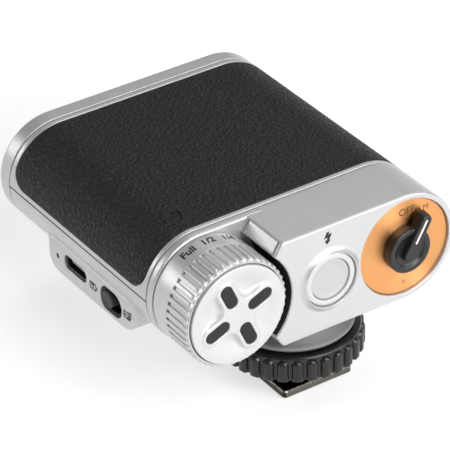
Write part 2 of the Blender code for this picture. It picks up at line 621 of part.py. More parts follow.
def shoe():
    """Boss under the body, stem, ribbed lock ring, clamp plate, foot and the pins in it."""
    bore = STEM_RADIUS + GAP
    turned("shoe_base", [(bore, 12.9), (BASE_RIM - 0.9, 12.9), (BASE_RIM, BASE_RIM_Z), (BASE_RIM - 0.5, 14.3),
                         (BASE_RIM - 1.9, BODY_BOTTOM - GAP), (bore, BODY_BOTTOM - GAP)], "Z",
           (0, 0, BASE_RIM_Z), "silver", 48)
    stem = rod("shoe_stem", STEM_RADIUS, NECK_TOP + GAP, BODY_BOTTOM - GAP, "Z", finish="black_plastic",
               segments=48)

    ring = prism("lock_ring", ribbed(LOCK_RADIUS, LOCK_RADIUS - 0.8, LOCK_RIBS), RING_BOTTOM, RING_TOP - 0.9,
                 "Z", finish="black_plastic")
    join(ring, rod("lock_ring_rim", LOCK_RADIUS - 0.9, RING_TOP - 2, RING_TOP, "Z", segments=60))
    cut(ring, rod("lock_ring_bore", bore, RING_BOTTOM - OVER, RING_TOP + OVER, "Z", segments=40))

    clamp_low, clamp_high = 4.9, 6.2
    clamp = prism("clamp_plate", rounded(19.4, 18.8, 2.0), clamp_low, clamp_high, "Z", finish="dark_metal")
    cut(clamp, prism("clamp_hole", rounded(NECK_WIDTH + 2 * GAP, NECK_LENGTH + 2 * GAP, 0.8),
                     clamp_low - OVER, clamp_high + OVER, "Z"))

    foot = prism("shoe_foot", rounded(FOOT_WIDTH, FOOT_FRONT - FOOT_BACK, 1.0,
                                      (0, (FOOT_FRONT + FOOT_BACK) / 2), steps=3),
                 0, FOOT_THICKNESS, "Z", finish="dark_metal")
    join(foot, prism("foot_neck", rounded(NECK_WIDTH, NECK_LENGTH, 0.6, steps=3), FOOT_THICKNESS / 2,
                     NECK_TOP, "Z"))
    insert_radius, pin_radius, chamber = 2.9, 1.1, 2.25
    cut(foot, rod("insert_hole", insert_radius + GAP, -OVER, NECK_TOP + OVER, "Z", segments=32))
    for i, (sx, sy) in enumerate(((-1, -1), (1, -1), (-1, 1), (1, 1))):
        place = (sx * FOOT_SCREW_XY, sy * FOOT_SCREW_XY, 0)
        head, seat, end = 0.15, 0.9, 10.0
        turned(f"foot_screw_{i + 1}", [(0, head), (1.3, head), (0.8, seat), (0.8, end), (0, end)], "Z", place,
               "steel", 16)
        hole = turned(f"foot_screw_hole_{i}", [(0, -OVER), (1.75, -OVER), (1.75, 0.1), (1.1, seat + 0.3),
                                               (1.1, end + 0.5), (0, end + 0.5)], "Z", place, steps=16)
        cut(foot, hole)
        cut(stem, hole)

    insert = rod("contact_insert", insert_radius, 0.05, NECK_TOP - 0.1, "Z", finish="black_plastic")
    cut(insert, rod("pin_hole", pin_radius + GAP, -OVER, 3, "Z", segments=24),
        rod("spring_chamber", chamber, 2.0, NECK_TOP + OVER, "Z", segments=24))
    turned("contact_pin", [(0, -0.4), (0.7, -0.4), (pin_radius, 0.0), (pin_radius, 2.3), (1.9, 2.3),
                           (1.9, 2.8), (0, 2.8)], "Z", finish="brass", steps=24)
    contact_spring(3.1, NECK_TOP - 0.3)

    pin = (0, LOCK_PIN_Y, 0)
    cut(foot, rod("lock_pin_hole", 1.05, -OVER, NECK_TOP + OVER, "Z", pin, segments=16))
    rod("lock_pin", 0.75, 0.15, NECK_TOP - 0.2, "Z", pin, "steel", 16)


def contact_spring(low, high, turns=3, radius=1.5, wire=0.2):
    """A coil between two heights around the shoe's centre line."""
    count = turns * 10
    curve = bpy.data.curves.new("contact_spring", "CURVE")
    curve.dimensions = "3D"
    curve.bevel_depth = MM * wire
    curve.bevel_resolution = 2
    curve.use_fill_caps = True
    spline = curve.splines.new("POLY")
    spline.points.add(count)
    for i, point in enumerate(spline.points):
        angle = math.tau * turns * i / count
        height = low + wire + (high - low - 2 * wire) * i / count
        point.co = (MM * radius * math.cos(angle), MM * radius * math.sin(angle), MM * height, 1)
    add_piece("contact_spring", curve, Matrix.Identity(4), "steel")


top_cover()
top_skin()
bottom_case()
case_screws()
front_bezel()
rear_housing()
power_dial()
mode_selector()
test_button()
side_ports()
light_unit()
electronics()
shoe()
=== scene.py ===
"""Looks of a compact hot-shoe flash: its camera and light, its fine pieces and the finish of every part."""

import math

import bmesh
import bpy
import numpy as np
from mathutils import Matrix, Vector


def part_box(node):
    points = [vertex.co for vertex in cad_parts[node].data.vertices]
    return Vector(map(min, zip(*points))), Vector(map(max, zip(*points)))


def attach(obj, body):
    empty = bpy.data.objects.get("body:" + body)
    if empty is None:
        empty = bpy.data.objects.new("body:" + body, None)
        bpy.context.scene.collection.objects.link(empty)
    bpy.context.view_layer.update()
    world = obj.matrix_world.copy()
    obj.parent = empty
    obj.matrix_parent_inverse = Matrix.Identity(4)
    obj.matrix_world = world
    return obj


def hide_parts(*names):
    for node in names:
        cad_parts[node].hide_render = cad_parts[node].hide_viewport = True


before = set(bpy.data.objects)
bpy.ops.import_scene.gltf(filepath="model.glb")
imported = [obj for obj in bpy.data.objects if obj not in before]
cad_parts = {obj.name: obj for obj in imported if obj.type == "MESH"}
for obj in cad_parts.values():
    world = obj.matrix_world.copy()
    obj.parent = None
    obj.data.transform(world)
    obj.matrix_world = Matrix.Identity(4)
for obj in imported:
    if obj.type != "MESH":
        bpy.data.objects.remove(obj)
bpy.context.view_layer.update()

MM = 0.001


# -------------------------------- places, read from the CAD frame, in millimetres

def low_high(node):
    """The opposite corners of a CAD node's box."""
    low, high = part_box(node)
    return np.array(low) / MM, np.array(high) / MM


def centre_of(node):
    low, high = low_high(node)
    return (low + high) / 2


BEZEL_LOW, BEZEL_HIGH = low_high("front_bezel")
ROUND = (BEZEL_HIGH[2] - BEZEL_LOW[2]) / 2          # radius of the body's round ends
MIDDLE = (BEZEL_HIGH[2] + BEZEL_LOW[2]) / 2         # height of the body's middle plane
END_X = BEZEL_HIGH[0] - ROUND                       # the round ends' centres
TOP, BOTTOM = MIDDLE + ROUND, MIDDLE - ROUND
COVER_LOW, COVER_HIGH = low_high("top_cover")
SKIN_LOW, SKIN_HIGH = low_high("top_leather")
CASE_LOW, CASE_HIGH = low_high("bottom_case")
HOUSING_LOW, HOUSING_HIGH = low_high("rear_housing")
BACK = HOUSING_LOW[1]
DIAL_LOW, DIAL_HIGH = low_high("power_dial")
DIAL_X, DIAL_Z = -END_X, MIDDLE
DIAL_RADIUS = (DIAL_HIGH[0] - DIAL_LOW[0]) / 2
WALL = 1.8                                          # thickness of the body's shells
GAP = 0.3                                           # play between two parts
DIAL_STEP = 23.0                                    # degrees between two power settings
SHARP = 32                                          # degrees past which an edge is drawn sharp
FLAT_SIDED = 40                                     # pieces with no more faces than this keep flat normals


# -------------------------------- outlines: arrays of (u, v) points

def polar(centre, radius, angles):
    """Points at a radius, or at one radius each, from a centre."""
    return np.c_[centre[0] + radius * np.cos(angles), centre[1] + radius * np.sin(angles)]


def arc(centre, radius, start, end, steps):
    return polar(centre, radius, np.radians(np.linspace(start, end, steps + 1)))


def circle(centre, radius, steps):
    return arc(centre, radius, 0, 360, steps)[:-1]


def rounded(width, height, radius, centre=(0, 0), steps=8):
    """A rectangle with round corners, anticlockwise from its right side."""
    x, y = width / 2 - radius, height / 2 - radius
    corners = ((x, y, 0), (-x, y, 90), (-x, -y, 180), (x, -y, 270))
    parts = [arc((centre[0] + dx, centre[1] + dy), radius, a, a + 90, steps) for dx, dy, a in corners]
    return np.concatenate(parts)


def oval(width, height, centre=(0, 0), steps=14):
    """A slot's outline. Its ends are a hair less than half round, so that its short sides keep a length."""
    return rounded(width, height, height / 2 - 0.005, centre, steps)


def stadium(steps=40):
    """The body's section, anticlockwise from the middle of its bottom."""
    right = arc((END_X, MIDDLE), ROUND, -90, 90, steps)
    left = arc((-END_X, MIDDLE), ROUND, 90, 270, steps)
    return np.concatenate([[(0, BOTTOM)], right, [(0, TOP)], left])


def resample(outline, count, closed=True):
    """The same outline with count points an even distance apart."""
    path = np.concatenate([outline, outline[:1]]) if closed else np.asarray(outline, float)
    length = np.concatenate([[0], np.cumsum(np.linalg.norm(np.diff(path, axis=0), axis=1))])
    places = np.linspace(0, length[-1], count, endpoint=not closed)
    return np.c_[np.interp(places, length, path[:, 0]), np.interp(places, length, path[:, 1])]


def matched(outer, inner, count):
    """Both outlines with count points each, so that partners lie on one ray from the middle."""
    middle = (inner.max(0) + inner.min(0)) / 2
    half = (inner.max(0) - inner.min(0)) / 2
    dense = resample(outer, 6 * count)

    def bearing(points):
        away = (points - middle) / half
        return np.unwrap(np.arctan2(away[:, 1], away[:, 0]))

    inner = resample(inner, count)
    aims, places = bearing(inner), bearing(dense)
    places = np.concatenate([places + math.tau * k for k in (-2, -1, 0, 1, 2)])
    dense = np.tile(dense, (5, 1))
    outer = np.c_[np.interp(aims, places, dense[:, 0]), np.interp(aims, places, dense[:, 1])]
    return outer, inner


def inset(outline, distance):
    """An anticlockwise outline moved inwards by a distance, or by one distance for each point."""
    before, after = np.roll(outline, 1, 0), np.roll(outline, -1, 0)
    normals = []
    for a, b in ((before, outline), (outline, after)):
        t = b - a
        t = t / np.maximum(np.linalg.norm(t, axis=1), 1e-9)[:, None]
        normals.append(np.c_[-t[:, 1], t[:, 0]])
    dot = (normals[0] * normals[1]).sum(1)
    normal = (normals[0] + normals[1]) / np.maximum(1 + dot, 0.3)[:, None]
    return outline + normal * np.reshape(distance, (-1, 1))


def distinct(outline):
    """The outline without points that lie on their neighbours."""
    gaps = np.linalg.norm(outline - np.roll(outline, 1, 0), axis=1)
    return outline[gaps > 0.002]


def turned_by(outline, degrees, centre=(0, 0)):
    c, s = math.cos(math.radians(degrees)), math.sin(math.radians(degrees))
    return outline @ np.array([[c, s], [-s, c]]) + np.array(centre)


def step_up(t):
    """A smooth step from 0 to 1."""
    t = np.clip(t, 0, 1)
    return t * t * (3 - 2 * t)


# -------------------------------- solids

ALONG = {"X": (1, 2, 0), "Y": (0, 2, 1), "Z": (0, 1, 2)}      # the world axes that u, v and w lie along


def lift(axis, outline, w):
    """A flat outline as points in space, at the place w along an axis."""
    points = np.zeros((len(outline), 3))
    u_axis, v_axis, w_axis = ALONG[axis]
    points[:, u_axis] = outline[:, 0]
    points[:, v_axis] = outline[:, 1]
    points[:, w_axis] = w
    return points


def edge(w, inward, radius, steps=5):
    """(inset, w) pairs round an edge, end face first. inward is +1 where w grows into the piece."""
    angles = np.radians(np.linspace(0, 90, steps + 1))
    return [(radius * (1 - math.sin(a)), w + inward * radius * (1 - math.cos(a))) for a in angles]


def loft(rings, loop=False):
    """A mesh through rings of points. With loop its last ring joins the first, else its ends are closed."""
    bm = bmesh.new()
    rows = [[bm.verts.new(p * MM) for p in np.asarray(ring, float)] for ring in rings]
    pairs = list(zip(rows, rows[1:] + rows[:1])) if loop else list(zip(rows, rows[1:]))
    count = len(rows[0])
    for a, b in pairs:
        for i in range(count):
            j = (i + 1) % count
            bm.faces.new((a[i], a[j], b[j], b[i]))
    if not loop:
        bm.faces.new(rows[0])
        bm.faces.new(list(reversed(rows[-1])))
    return bm


def finished_mesh(bm, name, sharp=SHARP):
    """The mesh of a bmesh, cleaned, with its normals outwards and its sharp edges marked."""
    bmesh.ops.remove_doubles(bm, verts=bm.verts, dist=0.0000015)
    bmesh.ops.dissolve_degenerate(bm, edges=bm.edges, dist=0.000001)
    bmesh.ops.recalc_face_normals(bm, faces=bm.faces)
    mesh = bpy.data.meshes.new(name)
    bm.to_mesh(mesh)
    bm.free()
    mesh.shade_smooth()
    mesh.set_sharp_from_angle(angle=math.radians(sharp))
    return mesh


def add(name, bm, sharp=SHARP):
    piece = bpy.data.objects.new(name, finished_mesh(bm, name, sharp))
    bpy.context.scene.collection.objects.link(piece)
    return piece


def extruded(outline, low, high, axis, low_edge=0.0, high_edge=0.0, steps=5):
    """An outline's solid between two places along an axis, with its end edges rounded."""
    outline = distinct(np.asarray(outline, float))
    profile = edge(low, 1, low_edge, steps) if low_edge else [(0, low)]
    profile += list(reversed(edge(high, -1, high_edge, steps))) if high_edge else [(0, high)]
    return loft([lift(axis, inset(outline, i), w) for i, w in profile])


def ring_solid(outer, inner, low, high, axis, outer_edges=(0, 0), inner_edges=(0, 0), count=240, steps=4):
    """The solid between two outlines. The edges are the radii at its low and high ends."""
    outer, inner = matched(outer, inner, count)
    rings = []
    for outline, side, (low_r, high_r) in ((outer, 1, outer_edges), (inner, -1, inner_edges)):
        profile = edge(low, 1, low_r, steps) if low_r else [(0, low)]
        profile += list(reversed(edge(high, -1, high_r, steps))) if high_r else [(0, high)]
        rows = [lift(axis, inset(outline, side * i), w) for i, w in profile]
        rings += rows if side > 0 else rows[::-1]
    return loft(rings, loop=True)


def spun(profile, axis, centre, steps=96, loop=False):
    """A solid turned from (radius, place along the axis) points."""
    return loft([lift(axis, circle(centre, max(r, 0.0001), steps), w) for r, w in profile], loop=loop)


def spun_arc(radius, w, r_sign, w_sign, size, steps=4):
    """Profile points round an edge whose corner is at (radius, w): the signs point from it into the piece."""
    points = []
    for a in np.radians(np.linspace(0, 90, steps + 1)):
        points.append((radius + r_sign * size * (1 - math.sin(a)), w + w_sign * size * (1 - math.cos(a))))
    return points


def apply_modifiers(piece):
    """Takes the piece's modifiers into its mesh."""
    bpy.context.view_layer.update()
    mesh = bpy.data.meshes.new_from_object(piece.evaluated_get(bpy.context.evaluated_depsgraph_get()))
    old = piece.data
    piece.modifiers.clear()
    piece.data = mesh
    bpy.data.meshes.remove(old)


def combine(piece, others, operation):
    """Cuts shapes from a piece, or joins them to it. others are bmeshes."""
    whole = bmesh.new()
    for other in others:
        part = finished_mesh(other, "tool")
        whole.from_mesh(part)
        bpy.data.meshes.remove(part)
    tool = add("tool", whole)
    modifier = piece.modifiers.new("tool", "BOOLEAN")
    modifier.operation = operation
    modifier.solver = "EXACT"
    modifier.use_self = len(others) > 1
    modifier.object = tool
    apply_modifiers(piece)
    bpy.data.objects.remove(tool)
    piece.data.set_sharp_from_angle(angle=math.radians(SHARP))


def cut(piece, *tools):
    combine(piece, tools, "DIFFERENCE")


def join(piece, *tools):
    for tool in tools:
        combine(piece, [tool], "UNION")


def well(outline, mouth, floor, axis, lip=0.2):
    """A cutter for a recess or hole that goes up its axis from its mouth, which widens by a round lip."""
    profile = [(-lip, mouth - 1)]
    for a in np.radians(np.linspace(0, 90, 5)):
        profile.append((-lip * (1 - math.sin(a)), mouth + lip * (1 - math.cos(a))))
    profile.append((0, floor))
    outline = distinct(outline)
    return loft([lift(axis, inset(outline, i), w) for i, w in profile])


def settle(piece, body, material, slot, *replaced):
    """Gives a finished piece its material, its body and the CAD nodes that it stands for."""
    piece.data.materials.clear()
    piece.data.materials.append(material)
    if len(piece.data.polygons) > FLAT_SIDED:
        normals = piece.modifiers.new("even_normals", "WEIGHTED_NORMAL")
        normals.keep_sharp = True
        normals.weight = 60
    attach(piece, body)
    if replaced:
        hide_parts(*replaced)


def stand_in(node, shape, body, material, slot, sharp=SHARP):
    """Makes the fine piece that stands for one CAD node."""
    settle(add(node + "_fine", shape, sharp), body, material, slot, node)


# -------------------------------- materials

class Finish:
    """A Principled material whose pattern is built from nodes in the piece's own coordinates."""

    def __init__(self, name, colour, roughness, metallic=0.0, **constants):
        self.material = bpy.data.materials.new(name)
        self.material.use_nodes = True
        self.tree = self.material.node_tree
        self.shader = self.tree.nodes["Principled BSDF"]
        self.colour = (*colour, 1)
        self.shader.inputs["Base Color"].default_value = self.colour
        self.shader.inputs["Roughness"].default_value = roughness
        self.shader.inputs["Metallic"].default_value = metallic
        for socket, value in constants.items():
            self.shader.inputs[socket.replace("_", " ")].default_value = value
        self.place = self.node("TexCoord").outputs["Object"]
        self.height = None

    def node(self, kind, **inputs):
        made = self.tree.nodes.new("ShaderNode" + kind)
        for socket, value in inputs.items():
            self.feed(made.inputs[socket.replace("_", " ")], value)
        return made

    def feed(self, socket, value):
        if isinstance(value, bpy.types.NodeSocket):
            self.tree.links.new(value, socket)
        else:
            socket.default_value = value

    def maths(self, operation, a, b=0.0):
        made = self.tree.nodes.new("ShaderNodeMath")
        made.operation = operation
        self.feed(made.inputs[0], a)
        self.feed(made.inputs[1], b)
        return made.outputs[0]

    def noise(self, size, detail=3.0, vector=None):
        """Noise from 0 to 1 whose features are about size millimetres."""
        made = self.node("TexNoise", Vector=vector or self.place, Scale=1 / (size * MM), Detail=detail)
        return made.outputs["Fac"]

    def ramp(self, value, low, high, a=0.0, b=1.0):
        """The value's stretch from low to high laid on the stretch from a to b."""
        made = self.node("MapRange", Value=value, From_Min=low, From_Max=high, To_Min=a, To_Max=b)
        return made.outputs["Result"]

    def mottle(self, size, darker, value=None):
        """Lets the colour vary down to a darker shade, with noise of a size or with a given value."""
        blend = self.tree.nodes.new("ShaderNodeMix")
        blend.data_type = "RGBA"
        factor, dark, light = [s for s in blend.inputs if s.enabled]
        self.feed(factor, value or self.ramp(self.noise(size), 0.35, 0.65))
        dark.default_value = (*[c * darker for c in self.colour[:3]], 1)
        light.default_value = self.colour
        self.feed(self.shader.inputs["Base Color"], next(s for s in blend.outputs if s.enabled))
        return self

    def polish(self, size, low, high, value=None):
        """Lets the roughness vary between low and high, with noise of a size or with a given value."""
        pattern = value or self.noise(size, 4.0)
        self.feed(self.shader.inputs["Roughness"], self.ramp(pattern, 0.3, 0.7, low, high))
        return self

    def bump(self, height, distance, strength=1.0):
        """Adds a surface pattern whose height from 0 to 1 stands for a distance in millimetres."""
        made = self.node("Bump", Height=height, Distance=distance * MM, Strength=strength)
        if self.height is not None:
            self.feed(made.inputs["Normal"], self.height)
        self.height = made.outputs["Normal"]
        self.feed(self.shader.inputs["Normal"], self.height)
        return self

    def grain(self, size, distance, strength=1.0):
        return self.bump(self.noise(size, 2.0), distance, strength)


def silver(name, colour, roughness, metallic, grain=0.5):
    """Bead-blasted satin silver."""
    made = Finish(name, colour, roughness, metallic)
    made.mottle(9.0, 0.97).polish(0.5, roughness - 0.04, roughness + 0.05)
    return made.grain(0.16, 0.012, grain).material


def leather(name):
    """Pebble-grained black leather: rounded cells of uneven size with fine creases between them, the colour
    darkened into the creases as painted shade.
    """
    made = Finish(name, (0.011, 0.011, 0.0115), 0.5, Specular_IOR_Level=0.4)
    warp = made.node("TexNoise", Vector=made.place, Scale=1 / (1.5 * MM), Detail=2.0)
    spread = made.node("VectorMath")
    spread.operation = "MULTIPLY_ADD"
    made.feed(spread.inputs[0], warp.outputs["Color"])
    spread.inputs[1].default_value = (0.5 * MM,) * 3
    made.feed(spread.inputs[2], made.place)
    cells = made.node("TexVoronoi", Vector=spread.outputs["Vector"], Scale=1 / (0.95 * MM))
    cells.feature = "SMOOTH_F1"
    cells.inputs["Smoothness"].default_value = 0.35
    pebble = made.ramp(cells.outputs["Distance"], 0.12, 0.62, 1.0, 0.0)
    creases = made.node("TexVoronoi", Vector=spread.outputs["Vector"], Scale=1 / (0.42 * MM))
    creases.feature = "DISTANCE_TO_EDGE"
    fine = made.ramp(creases.outputs["Distance"], 0.0, 0.16)
    # Painted shade: the colour darkens from each pebble's top down into the creases.
    made.mottle(0.0, 0.45, pebble)
    made.polish(0.0, 0.62, 0.44, pebble)
    made.bump(pebble, 0.26, 1.0)
    made.bump(fine, 0.045, 0.6)
    return made.bump(made.noise(4.0), 0.25, 0.4).material


def brushed(name, colour, roughness, centre):
    """Metal brushed in circles about an axis along Y, which throws its highlights outwards as fans."""
    made = Finish(name, colour, roughness, 1.0, Anisotropic=0.9, Anisotropic_Rotation=0.25)
    offset = made.node("VectorMath", Vector=made.place)
    offset.operation = "SUBTRACT"
    offset.inputs[1].default_value = [c * MM for c in centre]
    flat = made.node("VectorMath", Vector=offset.outputs["Vector"])
    flat.operation = "MULTIPLY"
    flat.inputs[1].default_value = (1, 0, 1)
    far = made.node("VectorMath", Vector=flat.outputs["Vector"])
    far.operation = "LENGTH"
    along = made.node("CombineXYZ", X=far.outputs["Value"])
    lines = made.noise(0.09, 3.0, along.outputs["Vector"])
    tangent = made.node("Tangent")
    tangent.direction_type = "RADIAL"
    tangent.axis = "Y"
    made.feed(made.shader.inputs["Tangent"], tangent.outputs["Tangent"])
    made.mottle(0.0, 0.93, lines)
    made.polish(0.0, roughness - 0.03, roughness + 0.05, lines)
    return made.bump(lines, 0.004, 0.4).material


def moulded(name, colour, roughness, size=0.12, depth=0.012, **constants):
    """Moulded plastic or rubber with a fine spark-eroded grain."""
    made = Finish(name, colour, roughness, **constants)
    made.mottle(3.0, 0.85).polish(1.2, roughness - 0.05, roughness + 0.06)
    return made.grain(size, depth, 0.6).material


def plain_metal(name, colour, roughness, size=0.6):
    """Bare or plated metal with faint handling marks."""
    made = Finish(name, colour, roughness, 1.0)
    made.mottle(size * 4, 0.92).polish(size, roughness - 0.05, roughness + 0.08)
    return made.grain(0.3, 0.004, 0.4).material


def board_finish(name):
    """Green solder mask over copper tracks."""
    made = Finish(name, (0.012, 0.13, 0.055), 0.35, Coat_Weight=0.4)
    tracks = made.node("TexBrick", Vector=made.place, Scale=1 / (2.2 * MM))
    made.mottle(0.0, 0.6, made.ramp(tracks.outputs["Fac"], 0.2, 0.8))
    return made.bump(tracks.outputs["Fac"], 0.03, 0.5).material


SILVER = silver("satin_silver", (0.58, 0.58, 0.585), 0.36, 0.55)
SILVER_CONTROL = silver("satin_silver_controls", (0.62, 0.62, 0.615), 0.36, 0.55, 0.15)
SILVER_FACE = silver("satin_silver_face", (0.575, 0.575, 0.575), 0.38, 0.3)
# The boss's silver is a darker copy: painted shade for the housing's overhang.
SILVER_BOSS_PAINTED_SHADE = silver("satin_silver_boss_painted_shade", (0.22, 0.22, 0.22), 0.5, 0.35)
SILVER_BUTTON = silver("satin_silver_button", (0.475, 0.475, 0.475), 0.42, 0.3)
LEATHER = leather("pebbled_leather")
COPPER = brushed("copper_anodised", (0.90, 0.43, 0.17), 0.3, (END_X, 0, MIDDLE))
BLACK = moulded("black_moulding", (0.010, 0.010, 0.0105), 0.36)
BLACK_RING = moulded("black_ring_moulding", (0.006, 0.006, 0.0062), 0.3)
BLACK_MATT = moulded("black_matt_moulding", (0.012, 0.012, 0.012), 0.6)
RUBBER = moulded("gray_rubber", (0.02, 0.02, 0.0205), 0.75, 0.18, 0.02, Specular_IOR_Level=0.35)
SLIDER_GRAY = moulded("gray_slider", (0.055, 0.055, 0.057), 0.6)
INK = moulded("black_ink", (0.006, 0.006, 0.006), 0.5, 0.1, 0.002)
BROWN_INK = moulded("brown_ink", (0.13, 0.045, 0.012), 0.5, 0.1, 0.002)
PALE = moulded("pale_filling", (0.72, 0.60, 0.62), 0.45, 0.1, 0.004)
STEEL = plain_metal("plated_steel", (0.56, 0.56, 0.57), 0.28)
SHELL_STEEL = plain_metal("socket_steel", (0.13, 0.13, 0.133), 0.4)
TONGUE_STEEL = plain_metal("tongue_steel", (0.38, 0.38, 0.385), 0.4)
END_STEEL = plain_metal("milled_ends", (0.15, 0.14, 0.125), 0.3)
DARK_STEEL = plain_metal("blackened_steel", (0.035, 0.033, 0.032), 0.32)
WORN_STEEL = plain_metal("polished_edge", (0.42, 0.38, 0.33), 0.25)
BRASS = plain_metal("gold_plate", (0.80, 0.56, 0.22), 0.25)
CHROME = plain_metal("mirror_reflector", (0.88, 0.88, 0.89), 0.09, 2.0)
LENS = moulded("clear_lens", (0.95, 0.97, 0.98), 0.08, 1.5, 0.004, Transmission_Weight=0.92, IOR=1.49)
GLASS = moulded("tube_glass", (0.95, 0.97, 0.98), 0.06, 1.5, 0.003, Transmission_Weight=0.85, IOR=1.47)
BOARD = board_finish("circuit_board")
SLEEVE = moulded("capacitor_sleeve", (0.035, 0.05, 0.20), 0.32)
WRAP = moulded("battery_wrap", (0.03, 0.03, 0.034), 0.3)


# -------------------------------- lettering and signs

INK_DEPTH = 0.02                                     # thickness of a printed sign
PROUD = 0.012                                        # how far a sign's middle stands off its surface

# The bolt with its arrow head, about 3 mm tall
BOLT = np.array([(-0.3, 1.6), (-1.05, 0.0), (-0.1, 0.22), (-0.35, -0.45), (-0.85, -0.4), (-0.3, -1.6),
                 (0.75, -0.6), (0.35, -0.52), (1.05, 1.1), (0.15, 0.9), (0.45, 1.6)])


def flat_mesh(curve, thickness):
    """A flat curve's solid as (points, faces)."""
    curve.extrude = thickness / 2
    holder = bpy.data.objects.new("sign", curve)
    bpy.context.scene.collection.objects.link(holder)
    bpy.context.view_layer.update()
    mesh = bpy.data.meshes.new_from_object(holder.evaluated_get(bpy.context.evaluated_depsgraph_get()))
    bpy.data.objects.remove(holder)
    points = np.array([v.co for v in mesh.vertices], float)
    faces = [list(p.vertices) for p in mesh.polygons]
    bpy.data.meshes.remove(mesh)
    return points, faces


def lettering(text, size, weight=0.0, thickness=INK_DEPTH):
    """Letters about their own centre. weight is how much each stroke swells."""
    curve = bpy.data.curves.new("sign", "FONT")
    curve.body = text
    curve.size = size
    curve.offset = weight
    curve.align_x = "CENTER"
    curve.align_y = "CENTER"
    return flat_mesh(curve, thickness)


def sign(outlines):
    """A sign filled from closed outlines, of which an inner one leaves a hole in the one round it."""
    curve = bpy.data.curves.new("sign", "CURVE")
    curve.dimensions = "2D"
    curve.fill_mode = "BOTH"
    for outline in outlines:
        spline = curve.splines.new("POLY")
        spline.points.add(len(outline) - 1)
        spline.use_cyclic_u = True
        for point, (u, v) in zip(spline.points, outline):
            point.co = (u, v, 0, 1)
    return flat_mesh(curve, INK_DEPTH)


def printed(name, shape, mapping, body="flash_body", material=INK):
    """A sign laid on a surface: mapping turns its flat points (u, v, height) into places."""
    points, faces = shape
    bm = bmesh.new()
    verts = [bm.verts.new(p * MM) for p in mapping(points)]
    for face in faces:
        bm.faces.new([verts[i] for i in face])
    settle(add(name, bm), body, material, "black_plastic")


def on_plane(x, z, y):
    """Lays a flat sign on a plane that faces -Y."""
    return lambda points: np.c_[x + points[:, 0], y - points[:, 2], z + points[:, 1]]


def on_side(y, z, x):
    """Lays a flat sign on a plane that faces -X: its right is towards the back."""
    return lambda points: np.c_[x - points[:, 2], y - points[:, 0], z + points[:, 1]]


# -------------------------------- body

SEAM = math.asin(GAP / 2 / ROUND)                            # angle from the middle plane to the cover's edge
SKIN_REACH = END_X + ROUND * (math.pi / 2 - math.asin((SKIN_LOW[2] - MIDDLE) / ROUND))
COVER_REACH = END_X + ROUND * (math.pi / 2 - SEAM)           # from the top's centre round to that edge
SKIN_CORNER = 4.6
SKIN_MARGIN = 0.14                                           # half the dark line round the skin


def wrap(s, y, height):
    """Places on the body's skin: s runs round its section from the top's centre, height stands off it."""
    s, y, height = np.broadcast_arrays(np.asarray(s, float), y, height)
    turn = np.clip((np.abs(s) - END_X) / ROUND, 0, None)
    side = np.sign(s)
    x = np.where(turn > 0, side * (END_X + (ROUND + height) * np.sin(turn)), s)
    z = MIDDLE + (ROUND + height) * np.cos(turn)
    return np.stack([x, y, z], -1)


def window_outline(reach, low, high, corner, legs, straight=(120, 70), steps=16):
    """A rectangle in (s, y) whose corners are round, or square where corner is 0. Each corner takes up legs
    of each side and has the same number of points either way, so that two such outlines match."""
    middle = (low + high) / 2
    hs, hy = reach, (high - low) / 2
    parts = []
    for sx, sy, first in ((1, 1, 1), (-1, 1, 0), (-1, -1, 1), (1, -1, 0)):
        t = np.linspace(0, 1, steps + 1)
        if corner:
            a = np.radians(90 * t)
            bend = np.c_[hs - corner + corner * np.cos(a), hy - corner + corner * np.sin(a)]
        else:
            across = np.where(t < 0.5, hs, hs - legs * (2 * t - 1))
            bend = np.c_[across, np.where(t < 0.5, hy - legs * (1 - 2 * t), hy)]
        bend = bend if first else bend[::-1]
        parts.append(bend * (sx, sy))
    outline = []
    for i, part in enumerate(parts):
        after = parts[(i + 1) % 4][0]
        run = part[-1] + (after - part[-1]) * np.linspace(0, 1, straight[i % 2] + 1)[1:-1, None]
        outline += [part, run]
    return np.concatenate(outline) + (0, middle)


def skin_lattice(outline_rings):
    """Rings of (s, y, height) as a closed mesh, ending in a point at each end."""
    return loft([wrap(r[:, 0], r[:, 1], h) for r, h in outline_rings])


def shrunk(outline, count):
    """Copies of an (s, y) outline that close up to its centre."""
    centre = (outline.max(0) + outline.min(0)) / 2
    return [centre + (outline - centre) * k for k in np.linspace(1, 0.012, count)[1:]]


def top_cover():
    """The upper shell, with a bed for the leather whose lip is rounded."""
    low, high = COVER_LOW[1], COVER_HIGH[1]
    bed = SKIN_CORNER + SKIN_MARGIN
    legs = bed + COVER_REACH - SKIN_REACH
    hole = window_outline(SKIN_REACH + SKIN_MARGIN, SKIN_LOW[1] - SKIN_MARGIN, SKIN_HIGH[1] + SKIN_MARGIN,
                          bed, bed)
    edge_at = {d: window_outline(COVER_REACH - d, low + d, high - d, 0, legs) for d in (0, 0.06, 0.2)}
    floor = -0.55
    rings = [(o, floor) for o in shrunk(hole, 26)[::-1]]
    rings += [(hole, floor), (hole, -0.14), (inset(hole, -0.03), -0.05), (inset(hole, -0.12), 0)]
    lip = inset(hole, -0.12)
    rings += [(lip + (edge_at[0.2] - lip) * k, 0) for k in (0.2, 0.4, 0.6, 0.8)]
    rings += [(edge_at[0.2], 0), (edge_at[0.06], -0.06), (edge_at[0], -0.2), (edge_at[0], -WALL)]
    rings += [(o, -WALL) for o in shrunk(edge_at[0], 30)]
    stand_in("top_cover", skin_lattice(rings), "flash_body", SILVER, "silver_shell")


